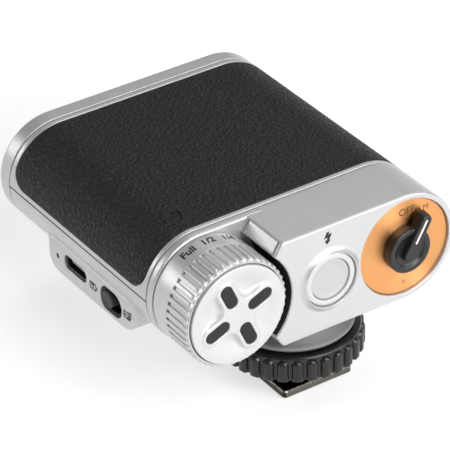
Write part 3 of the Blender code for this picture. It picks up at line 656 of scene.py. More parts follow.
def top_skin():
    """The leather, with a soft edge and a triangle pressed into it that points at the dial's setting."""
    base, proud, soft = -0.45, SKIN_HIGH[2] - TOP, 0.34
    reach = SKIN_REACH - SKIN_MARGIN / 2
    outline = window_outline(reach, SKIN_LOW[1], SKIN_HIGH[1], SKIN_CORNER, SKIN_CORNER)
    rings = [(o, base) for o in shrunk(outline, 14)[::-1]] + [(outline, base)]
    for a in np.radians(np.linspace(0, 90, 6)):
        rings.append((inset(outline, soft * (1 - math.cos(a))), proud - soft * (1 - math.sin(a))))
    rings += [(o, proud) for o in shrunk(inset(outline, soft), 90)]
    piece = add("top_leather_fine", skin_lattice(rings))
    tip, back, half = 8.3, 12.2, 1.35
    mark = np.array([(-END_X, tip), (-END_X + half, back), (-END_X - half, back)])
    cut(piece, extruded(resample(mark, 30), TOP - 0.2, TOP + 2, "Z"))
    settle(piece, "flash_body", LEATHER, "leather", "top_leather")


# The port block: a box with round edges that grows out of the case's lower left side
BLOCK_SIDE = -35.9
BLOCK_BACK, BLOCK_FRONT, BLOCK_TOP = 9.9, 46.2, 25.5
BLOCK_CORNER, BLOCK_EDGE = 4.5, 1.7                  # radii of its lower corners and of its outer edge
BLOCK_BLEND = 0.35                                   # how far its join to the case is softened


def case_radius(angle, y):
    """How far the case's outside is from the left round end's axis. The angle is 0 straight down and grows to
    the left."""
    def outside(r):
        x = -END_X - r * np.sin(angle)
        z = MIDDLE - r * np.cos(angle)
        tube = r - ROUND
        cy, hy = (BLOCK_BACK + BLOCK_FRONT) / 2, (BLOCK_FRONT - BLOCK_BACK) / 2 - BLOCK_CORNER
        cz, hz = (BOTTOM + BLOCK_TOP) / 2, (BLOCK_TOP - BOTTOM) / 2
        corner = np.where(z < cz, BLOCK_CORNER, 0.5)
        dy = np.abs(y - cy) - (hy + BLOCK_CORNER - corner)
        dz = np.abs(z - cz) - (hz - corner)
        side = np.hypot(np.maximum(dy, 0), np.maximum(dz, 0)) + np.minimum(np.maximum(dy, dz), 0) - corner
        deep = BLOCK_SIDE - x
        a, b = side + BLOCK_EDGE, deep + BLOCK_EDGE
        box = np.hypot(np.maximum(a, 0), np.maximum(b, 0)) + np.minimum(np.maximum(a, b), 0) - BLOCK_EDGE
        h = np.maximum(BLOCK_BLEND - np.abs(box - tube), 0) / BLOCK_BLEND
        return np.minimum(box, tube) - h * h * BLOCK_BLEND / 4

    shape = np.broadcast(angle, y).shape
    low, high = np.full(shape, 10.0), np.full(shape, 21.0)
    for _ in range(34):
        middle = (low + high) / 2
        inside = outside(middle) < 0
        low, high = np.where(inside, middle, low), np.where(inside, high, middle)
    return (low + high) / 2


def rows_between(low, high, features, coarse=1.2):
    """Places between two limits, close together near each feature."""
    near = (0.01, 0.05, 0.1, 0.18, 0.28, 0.4, 0.55, 0.75, 1.0, 1.3, 1.6, 2.0, 2.5, 3.1, 3.8, 4.6)
    places = [low, high]
    for at in features:
        places += [at + side * d for side in (-1, 1) for d in near]
    places = sorted(p for p in places if low <= p <= high)
    filled = [places[0]]
    for p in places[1:]:
        steps = max(1, math.ceil((p - filled[-1]) / coarse))
        filled += list(np.linspace(filled[-1], p, steps + 1)[1:])
    return [p for i, p in enumerate(filled) if i == 0 or p - filled[i - 1] > 0.004]


def bottom_case():
    """The lower shell with the port block, whose socket, switch and lamp show through openings."""
    low, high, seam = CASE_LOW[1], CASE_HIGH[1], GAP / 2
    top_angle = 90 - math.degrees(math.asin(seam / ROUND))
    ledge = math.degrees(math.atan2(-END_X - BLOCK_SIDE, MIDDLE - BLOCK_TOP))
    left = np.radians(rows_between(0.0, top_angle, (ledge, 45), 2.0))
    right = np.radians(np.linspace(0, top_angle, 46))
    places = rows_between(low, high, (BLOCK_BACK, BLOCK_FRONT))
    ends = [(low, 0.2), (low + 0.06, 0.06), (low + 0.2, 0.0)]
    outer_rows = ends + [(y, 0.0) for y in places if low + 0.3 < y < high - 0.3]
    outer_rows += [(high + low - w, d) for w, d in reversed(ends)]

    def section(y, depth, inner=False):
        radius = np.full(len(left), ROUND - WALL) if inner else case_radius(left, y) - depth
        r = ROUND - (WALL if inner else depth)
        l_side = np.c_[-END_X - radius * np.sin(left), MIDDLE - radius * np.cos(left)]
        r_side = np.c_[END_X + r * np.sin(right), MIDDLE - r * np.cos(right)]
        flat = np.c_[np.linspace(-END_X, END_X, 24)[1:-1], np.full(22, MIDDLE - r)]
        return lift("Y", np.concatenate([l_side[::-1], flat, r_side]), y)

    rings = [np.concatenate([section(y, depth), section(y, 0, True)[::-1]]) for y, depth in outer_rows]
    piece = add("bottom_case_fine", loft(rings))

    usb_low, usb_high = low_high("usb_shell")
    slot = oval(usb_high[1] - usb_low[1] + 0.7, usb_high[2] - usb_low[2] + 0.6, centre_of("usb_shell")[1:])
    liner_low, liner_high = low_high("slide_switch")
    window = oval(liner_high[1] - liner_low[1] + 2 * GAP, liner_high[2] - liner_low[2] + 2 * GAP,
                  centre_of("slide_switch")[1:])
    lamp_hole = circle(centre_of("status_lamp")[1:], 0.62, 32)
    deep, lamp_floor = -27.0, -31.5
    cut(piece, well(slot, BLOCK_SIDE, deep, "X", 0.22), well(window, BLOCK_SIDE, deep, "X", 0.3),
        well(lamp_hole, BLOCK_SIDE, lamp_floor, "X", 0.12))
    wells = []
    for i in range(4):
        place = centre_of(f"case_screw_{i + 1}")
        wells.append(well(circle(place[:2], 2.0, 48), BOTTOM, BOTTOM + 1.0, "Z", 0.2))
    cut(piece, *wells)
    settle(piece, "flash_body", SILVER, "silver_shell", "bottom_case")


def front_bezel():
    """The silver front rim and the black frame of its window."""
    low, high = BEZEL_LOW[1], BEZEL_HIGH[1]
    frame_low, frame_high = low_high("window_frame")
    wide, tall = frame_high[0] - frame_low[0], frame_high[2] - frame_low[2]
    window = rounded(wide + 2 * GAP, tall + 2 * GAP, 3.5, (0, MIDDLE), 12)
    bezel = ring_solid(stadium(), window, low, high, "Y", (0.15, 1.0), (0, 0.35), 320, 6)
    stand_in("front_bezel", bezel, "flash_body", SILVER, "silver_shell")

    lens_low, lens_high = low_high("flash_lens")
    opening = rounded(lens_high[0] - lens_low[0] + 2 * GAP, lens_high[2] - lens_low[2] + 2 * GAP, 2.0,
                      (0, MIDDLE), 12)
    outer, opening = matched(rounded(wide, tall, 3.2, (0, MIDDLE), 12), opening, 240)
    y0, y1 = frame_low[1], frame_high[1]
    profile = [(outer, y0, 0), (outer, y1 - 0.25, 0), (outer, y1 - 0.07, 0.07), (outer, y1, 0.25),
               (outer, y1, 1.1), (opening, y1 - 0.75, -0.25), (opening, y1 - 0.9, -0.06),
               (opening, y1 - 1.1, 0), (opening, y0, 0)]
    surround = loft([lift("Y", inset(outline, d), w) for outline, w, d in profile], loop=True)
    stand_in("window_frame", surround, "flash_body", BLACK, "black_plastic")


def light_unit():
    """The lens with its horizontal prisms, and the reflector and tube that show through it."""
    low, high = low_high("flash_lens")
    corner, pitch, depth = 1.7, 0.73, 0.22
    half = (high[0] - low[0]) / 2
    rings = []
    count = round((high[2] - low[2]) / pitch)
    for i in range(count):
        z0 = low[2] + (high[2] - low[2]) * i / count
        z1 = low[2] + (high[2] - low[2]) * (i + 1) / count
        below_middle = z0 + z1 < 2 * MIDDLE
        sags = (depth, 0) if below_middle else (0, depth)
        for z, sag in ((z0 + 0.01, sags[0]), (z1 - 0.01, sags[1])):
            d = max(corner - (z - low[2]), corner - (high[2] - z), 0)
            width = half - corner + math.sqrt(max(corner ** 2 - d ** 2, 0.01))
            corners = ((-width, low[1]), (width, low[1]), (width, high[1] - sag), (-width, high[1] - sag))
            rings.append(lift("Z", np.array(corners), z))
    stand_in("flash_lens", loft(rings), "flash_body", LENS, "clear")

    low, high = low_high("reflector")
    wall = 0.8
    half = (high[2] - low[2]) / 2

    def bowl(shrink, back):
        t = np.linspace(-1, 1, 61)
        z = MIDDLE + (half - shrink) * t
        return np.c_[back + (high[1] - back) * t ** 2, z]

    outer, inner = bowl(0, low[1]), bowl(wall, low[1] + wall)
    inner[[0, -1], 0] += 1
    reflector = add("reflector_fine", extruded(outer, low[0], high[0], "X"))
    tube = centre_of("xenon_tube")
    cut(reflector, extruded(inner, low[0] + wall, high[0] - wall, "X"),
        loft([lift("X", circle(tube[1:], 2.05, 40), w) for w in (low[0] - 1, high[0] + 1)]))
    settle(reflector, "flash_body", CHROME, "reflector_chrome", "reflector")

    low, high = low_high("xenon_tube")
    radius = (high[2] - low[2]) / 2
    profile = [(0, low[0]), *spun_arc(radius, low[0], -1, 1, 0.6),
               *spun_arc(radius, high[0], -1, -1, 0.6)[::-1], (0, high[0])]
    stand_in("xenon_tube", spun(profile, "X", tube[1:], 40), "flash_body", GLASS, "clear")


FACET_X, FACET_ANGLE = -10.5, math.radians(58)       # the start and the slope of the block's slanted corners
POCKET = 14.5                                        # radius of the block's hollow for the dial
MOUND_RISE, MOUND_FOOT = 0.95, 8.6                   # height and radius of the mound round the test button
SUNK = 0.03                                          # how far the mound's foot lies under the block's face


def crossing(point, direction, other, other_direction):
    """Where two lines meet."""
    t, _ = np.linalg.solve(np.array([direction, -other_direction]).T, other - point)
    return point + direction * t


def facet_line(d=0.0):
    """The upper slanted corner's line, moved d into the block: a point on it, and its way down left."""
    slope = np.array([-math.cos(FACET_ANGLE), -math.sin(FACET_ANGLE)])
    into = np.array([-slope[1], slope[0]])
    return np.array([FACET_X, TOP]) + into * d * np.sign(into[0]), slope


def facet_ends(d=0.0):
    """Where the slanted corner leaves the block's top, and where it reaches the dial's pocket."""
    point, slope = facet_line(d)
    start = crossing(point, slope, np.array([0, TOP - d]), np.array([1.0, 0]))
    rel = start - (DIAL_X, DIAL_Z)
    b, c = rel @ slope, rel @ rel - (POCKET + d) ** 2
    return start, start + slope * (-b - math.sqrt(b * b - c))


def softened(before, corner, after, size, steps=6):
    """A round corner: points from a place size before it to a place size after it."""
    a = corner + (before - corner) / np.linalg.norm(before - corner) * size
    c = corner + (after - corner) / np.linalg.norm(after - corner) * size
    t = np.linspace(0, 1, steps + 1)[:, None]
    return a * (1 - t) ** 2 + 2 * corner * t * (1 - t) + c * t ** 2


def mirrored(outline):
    """An outline upside down about the body's middle plane."""
    return outline * (1, -1) + (0, 2 * MIDDLE)


def right_end(d):
    return np.concatenate([[(FACET_X + 4, BOTTOM + d)], arc((END_X, MIDDLE), ROUND - d, -90, 90, 90),
                           [(FACET_X + 4, TOP - d)]])


def block_outline(d=0.0):
    """The control block's section moved inwards by d, anticlockwise from the top, and how many of its points
    lie left of its long straight runs. It has as many points for every d."""
    start, meet = facet_ends(d)
    reach = math.atan2(meet[1] - DIAL_Z, meet[0] - DIAL_X)
    radius = POCKET + d
    along = (DIAL_X, DIAL_Z) + radius * np.array([math.cos(reach - 0.1), math.sin(reach - 0.1)])
    trim = 0.7 / radius
    size = max(0.75 - d, 0.08)
    spread = np.linspace(0, 1, 41)[1:-1, None]
    top_right = np.array([FACET_X + 3, TOP - d])
    first = softened(top_right, start, meet, size)
    second = softened(first[-1], meet, along, size * 0.8)
    upper = np.concatenate([top_right + (first[0] - top_right) * spread[::4], first,
                            first[-1] + (second[0] - first[-1]) * spread[::2], second])
    pocket = arc((DIAL_X, DIAL_Z), radius, math.degrees(reach - trim), math.degrees(trim - reach), 80)
    return np.concatenate([upper, pocket, mirrored(upper[::-1]), right_end(d)]), len(upper) * 2 + len(pocket)


def flange_outline(d, left_d=None):
    """The whole stadium with as many points as the block's outline. left_d is how far its left part moves
    inwards, where that isn't d."""
    _, count = block_outline()
    left_d = d if left_d is None else left_d
    path = np.concatenate([[(FACET_X + 3, TOP - left_d)], arc((DIAL_X, DIAL_Z), ROUND - left_d, 90, 270, 120),
                           [(FACET_X + 3, BOTTOM + left_d)]])
    left = resample(path, count + 2, closed=False)[1:-1]
    return np.concatenate([left, right_end(d)])


def rear_housing():
    """Flange and control block in one: the sections go from the whole stadium to the block's outline."""
    front, flange_back = HOUSING_HIGH[1], DIAL_HIGH[1] + GAP
    rings = [lift("Y", flange_outline(d), w) for d, w in edge(front, -1, 0.2, 3)]
    rings += [lift("Y", flange_outline(0, d), w) for d, w in reversed(edge(flange_back, 1, 0.5, 5))]
    rings.append(lift("Y", block_outline()[0], flange_back))
    rings += [lift("Y", block_outline(d)[0], w) for d, w in reversed(edge(BACK, 1, 0.5, 6))]
    piece = add("rear_housing_fine", loft(rings))

    left, corner = FACET_X + 5.0, 2
    inner_radius = ROUND - WALL
    inside = np.concatenate([arc((END_X, MIDDLE), inner_radius, -90, 90, 24),
                             arc((left + corner, MIDDLE + inner_radius - corner), corner, 90, 180, 6),
                             arc((left + corner, MIDDLE - inner_radius + corner), corner, 180, 270, 6)])
    plate_low, plate_high = low_high("mode_plate")
    plate_seat = circle(centre_of("mode_plate")[[0, 2]], (plate_high[0] - plate_low[0]) / 2 + 0.14, 120)
    button_x, _, button_z = centre_of("button_ring")
    ring_low, ring_high = low_high("button_ring")
    ring_radius = (ring_high[0] - ring_low[0]) / 2
    crest = BACK + SUNK - MOUND_RISE
    join(piece, button_mound((button_x, button_z), ring_radius, crest))
    cut(piece, extruded(inside, BACK + WALL, front + 1, "Y"),
        well(plate_seat, BACK, plate_high[1] + 0.02, "Y", 0.25),
        well(circle((button_x, button_z), ring_radius + 0.1, 96), crest, BACK + 4, "Y", 0.12))
    cut(piece, *facet_grooves((flange_back - 1.0, BACK + 1.05)))
    settle(piece, "flash_body", SILVER, "silver_shell", "rear_housing")
    # The hollow round the dial is lined with matt black as painted shade.
    paint_pocket_shade(piece, BACK + 0.6, flange_back)


def button_mound(centre, ring_radius, crest):
    """A low mound whose sides steepen towards the button's ring."""
    base = BACK + 1.2
    points = [(0, base), (MOUND_FOOT, base)]
    for t in np.linspace(0, 1, 15):
        points.append((MOUND_FOOT - (MOUND_FOOT - ring_radius - 0.3) * t, BACK + SUNK - MOUND_RISE * t ** 2))
    return spun([*points, (0, crest)], "Y", centre, 96)


def facet_grooves(places, half_width=0.48, depth=0.4):
    """Cutters for grooves across both slanted corners."""
    start, _ = facet_ends()
    _, slope = facet_line()
    outwards = np.array([slope[1], -slope[0]])
    outwards = outwards * -np.sign(outwards[0])
    box = ((0.2, -depth), (9, -depth), (9, 2), (0.2, 2))
    corners = np.array([start + slope * u + outwards * v for u, v in box])
    grooves = []
    for y in places:
        for outline in (corners, mirrored(corners)):
            grooves.append(loft([lift("Y", outline, w) for w in (y - half_width, y + half_width)]))
    return grooves


def paint_pocket_shade(piece, back, front):
    """Paints shade into the hollow round the dial: its inward-facing wall gets the matt black material as
    painted shadow.
    """
    piece.data.materials.append(BLACK_MATT)
    for face in piece.data.polygons:
        x, y, z = face.center / MM
        out = np.array([x - DIAL_X, z - DIAL_Z])
        far = np.linalg.norm(out)
        facing = (face.normal.x * out[0] + face.normal.z * out[1]) / max(far, 1e-6)
        if back < y < front and far < POCKET + 0.05 and facing < -0.9:
            face.material_index = 1


# -------------------------------- power dial

RIBS = 44
PAD_REACH = 6.0                                      # the pads' distance from the dial's axis
BAND_END, PIT_END, RIB_END = -4.5, -5.15, -11.7      # where the number band, the pits and the ribs end
PIT_DEPTH, SLOT_DEPTH, NOTCH_DEPTH = 0.62, 0.34, 0.6
SLOT_HALF = 0.37                                     # half a slot's width
DIAL_RIM = 12.6                                      # radius where the dial's rear chamfer ends


def dial_section():
    """The ring's outline as (radius, y) from its front round its outside to its bore."""
    front, back = DIAL_HIGH[1], DIAL_LOW[1]
    cap_low, cap_high = low_high("dial_cap")
    seat = (cap_high[0] - cap_low[0]) / 2 + 0.24
    inner, hub = 11.6, 3.2
    web_front, web_back, seat_floor = -1.0, -3.0, -9.3
    near, far = DIAL_RADIUS - 0.1, RIB_END - 0.1
    rows = [(inner, front), (DIAL_RADIUS - 0.35, front), (near, front - 0.1), (DIAL_RADIUS, front - 0.35)]
    rows += [(DIAL_RADIUS, y) for y in (-0.4, -1.4, -2.4, -3.4, BAND_END + 0.3, BAND_END, BAND_END - 0.02,
                                        PIT_END, PIT_END - 0.06)]
    rows += [(DIAL_RADIUS, y) for y in np.linspace(PIT_END - 0.4, RIB_END + 0.1, 10)]
    rows += [(DIAL_RADIUS - 0.02, RIB_END), (near, far)]
    rows += [(near - (DIAL_RADIUS - DIAL_RIM - 0.1) * t, far - (RIB_END - back - 0.18) * t)
             for t in (0.25, 0.5, 0.75, 1.0)]
    rows += [(DIAL_RIM - 0.08, back), (seat + 0.1, back), (seat, back + 0.1), (seat, seat_floor)]
    web = [(inner, web_back), (hub, web_back), (hub, web_front), (inner, web_front)]
    return [*rows, (inner, seat_floor), *web]


def dial_ring():
    """The number band and the ribs. Each slot starts as a small deep pit, runs on shallower and flares out
    into a notch at the rear chamfer."""
    back = DIAL_LOW[1]
    pitch = 360 / RIBS
    slot = math.degrees(SLOT_HALF / DIAL_RADIUS)
    side = [0.5 * slot, 0.96 * slot, 1.02 * slot, 1.2 * slot, 1.5 * slot, 2.0 * slot, 0.4 * pitch]
    offsets = [-0.5 * pitch, *[-o for o in side[::-1]], 0, *side]
    angles = np.radians(np.array([i * pitch + o for i in range(RIBS) for o in offsets]))
    local = np.abs(np.tile(offsets, RIBS)) / slot
    rings = []
    for radius, y in dial_section():
        depth = 0.0
        if back + 0.05 < y < BAND_END - 0.01 and radius > DIAL_RIM - 0.01:
            floor = DIAL_RADIUS - (PIT_DEPTH if y >= PIT_END - 0.01 else SLOT_DEPTH)
            depth = max(radius - floor, 0.0)
        cut_in = np.where(local < 0.99, depth, 0.0)
        if depth:
            cut_in = np.where((local >= 0.99) & (local < 1.1), min(0.1, depth), cut_in)
            cut_in = np.where((local >= 1.1) & (local < 1.3), min(0.03, depth), cut_in)
        flare = 0.0
        if y > back + 0.05 and radius > DIAL_RIM:
            flare = min(max((RIB_END + 0.4 - y) / 0.4, 0.0), 1.0)
        half_notch = (slot + (pitch / 2 - slot) * flare) / slot
        notch = NOTCH_DEPTH * flare * np.clip(1 - local / half_notch, 0, 1)
        cut_in = np.maximum(cut_in, np.minimum(notch, max(radius - DIAL_RIM, 0)))
        rings.append(lift("Y", polar((DIAL_X, DIAL_Z), radius - cut_in, angles), y))
    stand_in("power_dial", loft(rings, loop=True), "power_dial", SILVER_CONTROL, "silver_controls", 38)


def dial_face():
    """The face: a raised X of round-ended arms with a pad in each, and scooped finger recesses between."""
    low, high = low_high("dial_cap")
    radius = (high[0] - low[0]) / 2
    crown, back = low[1], high[1]
    arm_reach, half_arm, blend = 7.5, 2.3, 2.8           # the X: its arms' length, half width and fillets
    rim_drop, scoop, slope, soft = 0.24, 1.0, 1.25, 0.08  # the recesses: depth at the rim, extra depth, sides
    scoop_start, scoop_run = 6.6, 4.6
    radii = list(np.linspace(0.15, radius - 0.24, 84))
    angles = np.radians(np.arange(0, 360, 1.0))

    def drop(r):
        """How far the face lies under the X's crown."""
        turn = angles - math.radians(DIAL_STEP)
        p, q = np.abs(r * np.cos(turn)), np.abs(r * np.sin(turn))
        one = np.hypot(np.maximum(p - arm_reach, 0), q)
        other = np.hypot(p, np.maximum(q - arm_reach, 0))
        near = np.minimum(one, other) - np.maximum(blend - np.abs(one - other), 0) ** 2 / (4 * blend)
        out = near - half_arm
        into = 1 - (1 - np.clip((out + np.hypot(out, soft)) / (2 * slope), 0, 1)) ** 2.2
        return into * (rim_drop + scoop * (1 - step_up((r - scoop_start) / scoop_run)))

    def ring(r, y):
        return lift("Y", polar((DIAL_X, DIAL_Z), r, angles), y)

    rings = [ring(r, crown + drop(r)) for r in radii]
    outer = crown + rim_drop
    rings += [ring(radius - d, outer + w) for d, w in ((0.12, 0.03), (0.03, 0.11), (0, 0.22))]
    rings += [ring(radius, back), ring(3.2, back)]
    piece = add("dial_cap_fine", loft(rings))
    pad_low, pad_high = low_high("dial_pad_1")
    for i in range(4):
        seat = turned_by(oval(6.44, 3.04, (PAD_REACH, 0), 12), DIAL_STEP + 90 * i, (DIAL_X, DIAL_Z))
        cut(piece, well(seat, crown, pad_high[1] + 0.05, "Y", 0.18))
    settle(piece, "power_dial", SILVER_FACE, "silver_controls", "dial_cap")
    for i in range(4):
        outline = turned_by(oval(6.2, 2.8, (PAD_REACH, 0), 12), DIAL_STEP + 90 * i, (DIAL_X, DIAL_Z))
        pad = extruded(outline, pad_low[1] + 0.12, pad_high[1], "Y", 0.25)
        stand_in(f"dial_pad_{i + 1}", pad, "power_dial", RUBBER, "rubber")


def dial_numbers():
    """Power settings round the number band, the chosen one uppermost."""
    settings = ["Full"] + [f"1/{2 ** n}" for n in range(1, 8)]
    size, middle_y = 2.7, -1.55
    for i, text in enumerate(settings):
        centre_angle = math.radians(90 + DIAL_STEP * (1 - i))

        def on_band(points, at=centre_angle):
            angle = at - points[:, 0] / DIAL_RADIUS
            r = DIAL_RADIUS + 0.005 + points[:, 2]
            return lift("Y", polar((DIAL_X, DIAL_Z), r, angle), middle_y + points[:, 1])

        name = "dial_number_" + text.lower().replace("/", "_")
        printed(name, lettering(text, size, 0.075, 0.03), on_band, "power_dial")


# -------------------------------- mode selector

KNOB_TURN = 60.0                                    # degrees from +X that the lever points at


def mode_selector():
    """The brushed plate with its marks, and the lever knob with its pale line."""
    low, high = low_high("mode_plate")
    radius = (high[0] - low[0]) / 2
    centre = (END_X, MIDDLE)
    bore = 2.5
    profile = [(bore, high[1]), (bore, low[1]), *spun_arc(radius, low[1], -1, 1, 0.22), (radius, high[1])]
    plate = spun(profile, "Y", centre, 160, loop=True)
    stand_in("mode_plate", plate, "flash_body", COPPER, "copper_plate")
    dot = sign([circle((0, 0), r, 24) for r in (0.42, 0.28)])
    for name, shape, right, up in (("off", lettering("OFF", 2.5, 0.02), 0.8, 8.9),
                                   ("manual", lettering("M", 2.0), 6.0, 8.1), ("dot", dot, 0, -9.4)):
        mapping = on_plane(END_X + right, MIDDLE + up, low[1] - PROUD)
        printed("mode_mark_" + name, shape, mapping, material=BROWN_INK)

    low, high = low_high("mode_knob")
    crown, front = low[1], high[1]
    base_radius, base_top = 5.6, crown + 0.7
    dished = ((4.55, 0), (4.3, 0.06), (4.05, 0.22), (3.8, 0.5), (3.5, 0.68), (3.0, 0.76), (0, 0.78))
    profile = [(0, front), *spun_arc(base_radius, front, -1, -1, 0.15),
               *spun_arc(base_radius, base_top, -1, 1, 0.5, 6)[::-1], *[(r, base_top + d) for r, d in dished]]
    knob = add("mode_knob_fine", spun(profile, "Y", centre, 96))
    wide, narrow = (-0.9, 1.5), (7.95, 1.35)        # the lever's two ends: place along it, and radius
    lean = math.degrees(math.acos((wide[1] - narrow[1]) / (narrow[0] - wide[0])))
    shape = np.concatenate([arc((narrow[0], 0), narrow[1], -lean, lean, 24),
                            arc((wide[0], 0), wide[1], lean, 360 - lean, 32)])
    lever = resample(turned_by(shape, KNOB_TURN, centre), 140)
    rows = edge(crown, 1, 0.35, 6) + [(-0.08, base_top), (-0.2, front - 0.5)]
    join(knob, loft([lift("Y", inset(lever, d), w) for d, w in rows]))
    line_middle = (5.1, 0)
    groove = turned_by(oval(6.5, 0.95, line_middle, 8), KNOB_TURN, centre)
    cut(knob, well(groove, crown, crown + 0.42, "Y", 0.06))
    settle(knob, "mode_knob", BLACK, "black_plastic", "mode_knob")
    line = turned_by(oval(6.2, 0.62, line_middle, 8), KNOB_TURN, centre)
    index = extruded(line, crown + 0.03, crown + 0.35, "Y", 0.1, steps=4)
    stand_in("knob_index", index, "mode_knob", PALE, "index_white")


# -------------------------------- test button

def test_button():
    """The button with its sunk edge, the ring round it and the bolt over it."""
    low, high = low_high("test_button")
    centre = centre_of("test_button")[[0, 2]]
    radius = (high[0] - low[0]) / 2
    stem, flange = 1.6, -9.6
    face = low[1] + 0.22
    profile = [(0, high[1]), (stem, high[1]), (stem, flange), (radius - 0.2, flange), (radius, flange + 0.2),
               *spun_arc(radius, face, -1, 1, 0.2)[::-1]]
    profile += [(radius - d, face + sunk) for d, sunk in ((0.6, 0), (0.7, 0.02), (0.78, 0.08), (0.9, 0.1))]
    profile += [(3.0, face + 0.14), (0, face + 0.17)]
    stand_in("test_button", spun(profile, "Y", centre), "test_button", SILVER_BUTTON, "silver_controls")

    low, high = low_high("button_ring")
    outer = (high[0] - low[0]) / 2
    inner, crest = radius + 0.1, low[1] - 0.02
    profile = [(inner, high[1]), (inner, crest + 0.3), (inner + 0.08, crest + 0.1), (inner + 0.3, crest),
               (outer - 0.6, crest), (outer - 0.3, crest + 0.06), (outer - 0.08, crest + 0.22),
               (outer, crest + 0.5), (outer, high[1])]
    ring = spun(profile, "Y", centre, loop=True)
    stand_in("button_ring", ring, "flash_body", SILVER_FACE, "silver_controls")
    printed("sign_flash", sign([BOLT]), on_plane(1.5, MIDDLE + 10.4, BACK - PROUD))


# -------------------------------- left side

def usb_socket():
    """The socket's oval shell, and its tongue with twelve contacts on either side."""
    low, high = low_high("usb_shell")
    centre = centre_of("usb_shell")[1:]
    wide, tall, wall = high[1] - low[1], high[2] - low[2], 0.3
    hollow = oval(wide - 2 * wall, tall - 2 * wall, centre)
    shell = ring_solid(oval(wide, tall, centre), hollow, low[0], high[0], "X", (0.1, 0), (0.14, 0), 120, 3)
    stand_in("usb_shell", shell, "flash_body", SHELL_STEEL, "steel")
    low, high = low_high("usb_tongue")
    tongue = add("usb_tongue_fine", extruded(rounded(6.6, 0.7, 0.18, centre, 4), low[0], high[0], "X", 0.15))
    join(tongue, extruded(rounded(7.6, 1.8, 0.6, centre, 5), low[0] + 5.2, high[0] - 0.3, "X"))
    settle(tongue, "flash_body", TONGUE_STEEL, "black_plastic", "usb_tongue")
    contacts, pitch, off_middle = 12, 0.5, 0.36
    whole = bmesh.new()
    for i in range(contacts):
        for side in (1, -1):
            place = (centre[0] + (i - (contacts - 1) / 2) * pitch, centre[1] + side * off_middle)
            strip = extruded(rounded(0.26, 0.06, 0.02, place, 2), low[0] + 0.5, low[0] + 4.4, "X")
            part = finished_mesh(strip, "strip")
            whole.from_mesh(part)
            bpy.data.meshes.remove(part)
    settle(add("usb_contacts", whole), "flash_body", BRASS, "brass")


def switch_and_lamp():
    """The slide switch in its oval well, the status lamp, and the signs beside socket and switch."""
    low, high = low_high("slide_switch")
    centre = centre_of("slide_switch")[1:]
    wide, tall, rim, track_floor = high[1] - low[1], high[2] - low[2], 1, -33.6
    liner = add("slide_switch_fine", extruded(oval(wide, tall, centre), low[0], high[0], "X", 0.12))
    cut(liner, well(oval(wide - rim, tall - rim, centre), low[0], track_floor, "X", 0.12))
    cut(liner, extruded(oval(7.2, 2.0, centre), track_floor - 0.4, high[0] + 1, "X"))
    settle(liner, "flash_body", BLACK_MATT, "black_plastic", "slide_switch")
    low, high = low_high("slide_knob")
    centre = centre_of("slide_knob")[1:]
    radius, root = (high[2] - low[2]) / 2, -34.0
    profile = [(0, low[0] + 0.22), (radius * 0.45, low[0] + 0.18), (radius * 0.72, low[0] + 0.06),
               *spun_arc(radius, low[0], -1, 1, 0.35), (radius, root), (0, root)]
    knob = add("slide_knob_fine", spun(profile, "X", centre, 64))
    join(knob, extruded(rounded(2.0, 1.2, 0.2, centre, 3), root - 1, high[0], "X"))
    settle(knob, "slide_knob", SLIDER_GRAY, "rubber", "slide_knob")

    low, high = low_high("status_lamp")
    profile = [(0, low[0] - 0.02), (0.2, low[0]), (0.42, low[0] + 0.1), (0.55, low[0] + 0.3), (0.55, high[0]),
               (0, high[0])]
    lamp_dome = spun(profile, "X", centre_of("status_lamp")[1:], 32)
    stand_in("status_lamp", lamp_dome, "flash_body", BLACK, "clear")

    frame_lines = [rounded(2.8, 2.0, 0.35, steps=4), rounded(2.1, 1.3, 0.15, steps=4)]
    battery = [*frame_lines, rounded(0.35, 0.9, 0.1, (1.72, 0), 3), BOLT * 0.42 * (1.1, 1)]
    beam = [*frame_lines, *[rounded(1.0, 0.3, 0.1, (0.45, y), 3) for y in (-0.4, 0.1)],
            circle((-0.65, 0), 0.38, 20)]
    printed("sign_charging", sign(battery), on_side(26.0, 21.3, BLOCK_SIDE - 0.01))
    printed("sign_switch", sign(beam), on_side(11.75, 21.2, BLOCK_SIDE - 0.01))


# -------------------------------- shoe

def shoe_base():
    """The silver boss: a rounded rim under a hollow slope. Its silver is darker as painted shade from the
    housing above.
    """
    low, high = low_high("shoe_base")
    rim = (high[0] - low[0]) / 2
    bore, slope_low = 9.3, 14.3
    slope_foot, slope_top = rim - 0.55, rim - 3.1
    run, fall = slope_foot - slope_top, high[2] - slope_low
    slope = [(slope_top + run * t, high[2] - fall * (1 - (1 - t) ** 1.35)) for t in np.linspace(0, 1, 10)]
    bead = ((0.9, 0), (0.4, 0.15), (0.06, 0.55), (0, 0.9), (0.08, 1.15), (0.3, 1.32))
    profile = [(bore, low[2]), *[(rim - d, low[2] + up) for d, up in bead], *slope[::-1], (bore, high[2])]
    boss = spun(profile, "Z", (0, 0), 160, loop=True)
    # The boss's darker silver is painted shade.
    stand_in("shoe_base", boss, "flash_body", SILVER_BOSS_PAINTED_SHADE, "silver_shell")


def clamp_plate():
    """The plate that the lock ring presses down on a camera's shoe."""
    low, high = low_high("clamp_plate")
    outline = rounded(high[0] - low[0], high[1] - low[1], 2.0, steps=12)
    hole = rounded(12.2, 15.6, 0.8, steps=6)
    clamp = ring_solid(outline, hole, low[2], high[2], "Z", (0.2, 0.2), (0.1, 0.1), 240, 3)
    stand_in("clamp_plate", clamp, "clamp_plate", DARK_STEEL, "dark_metal")


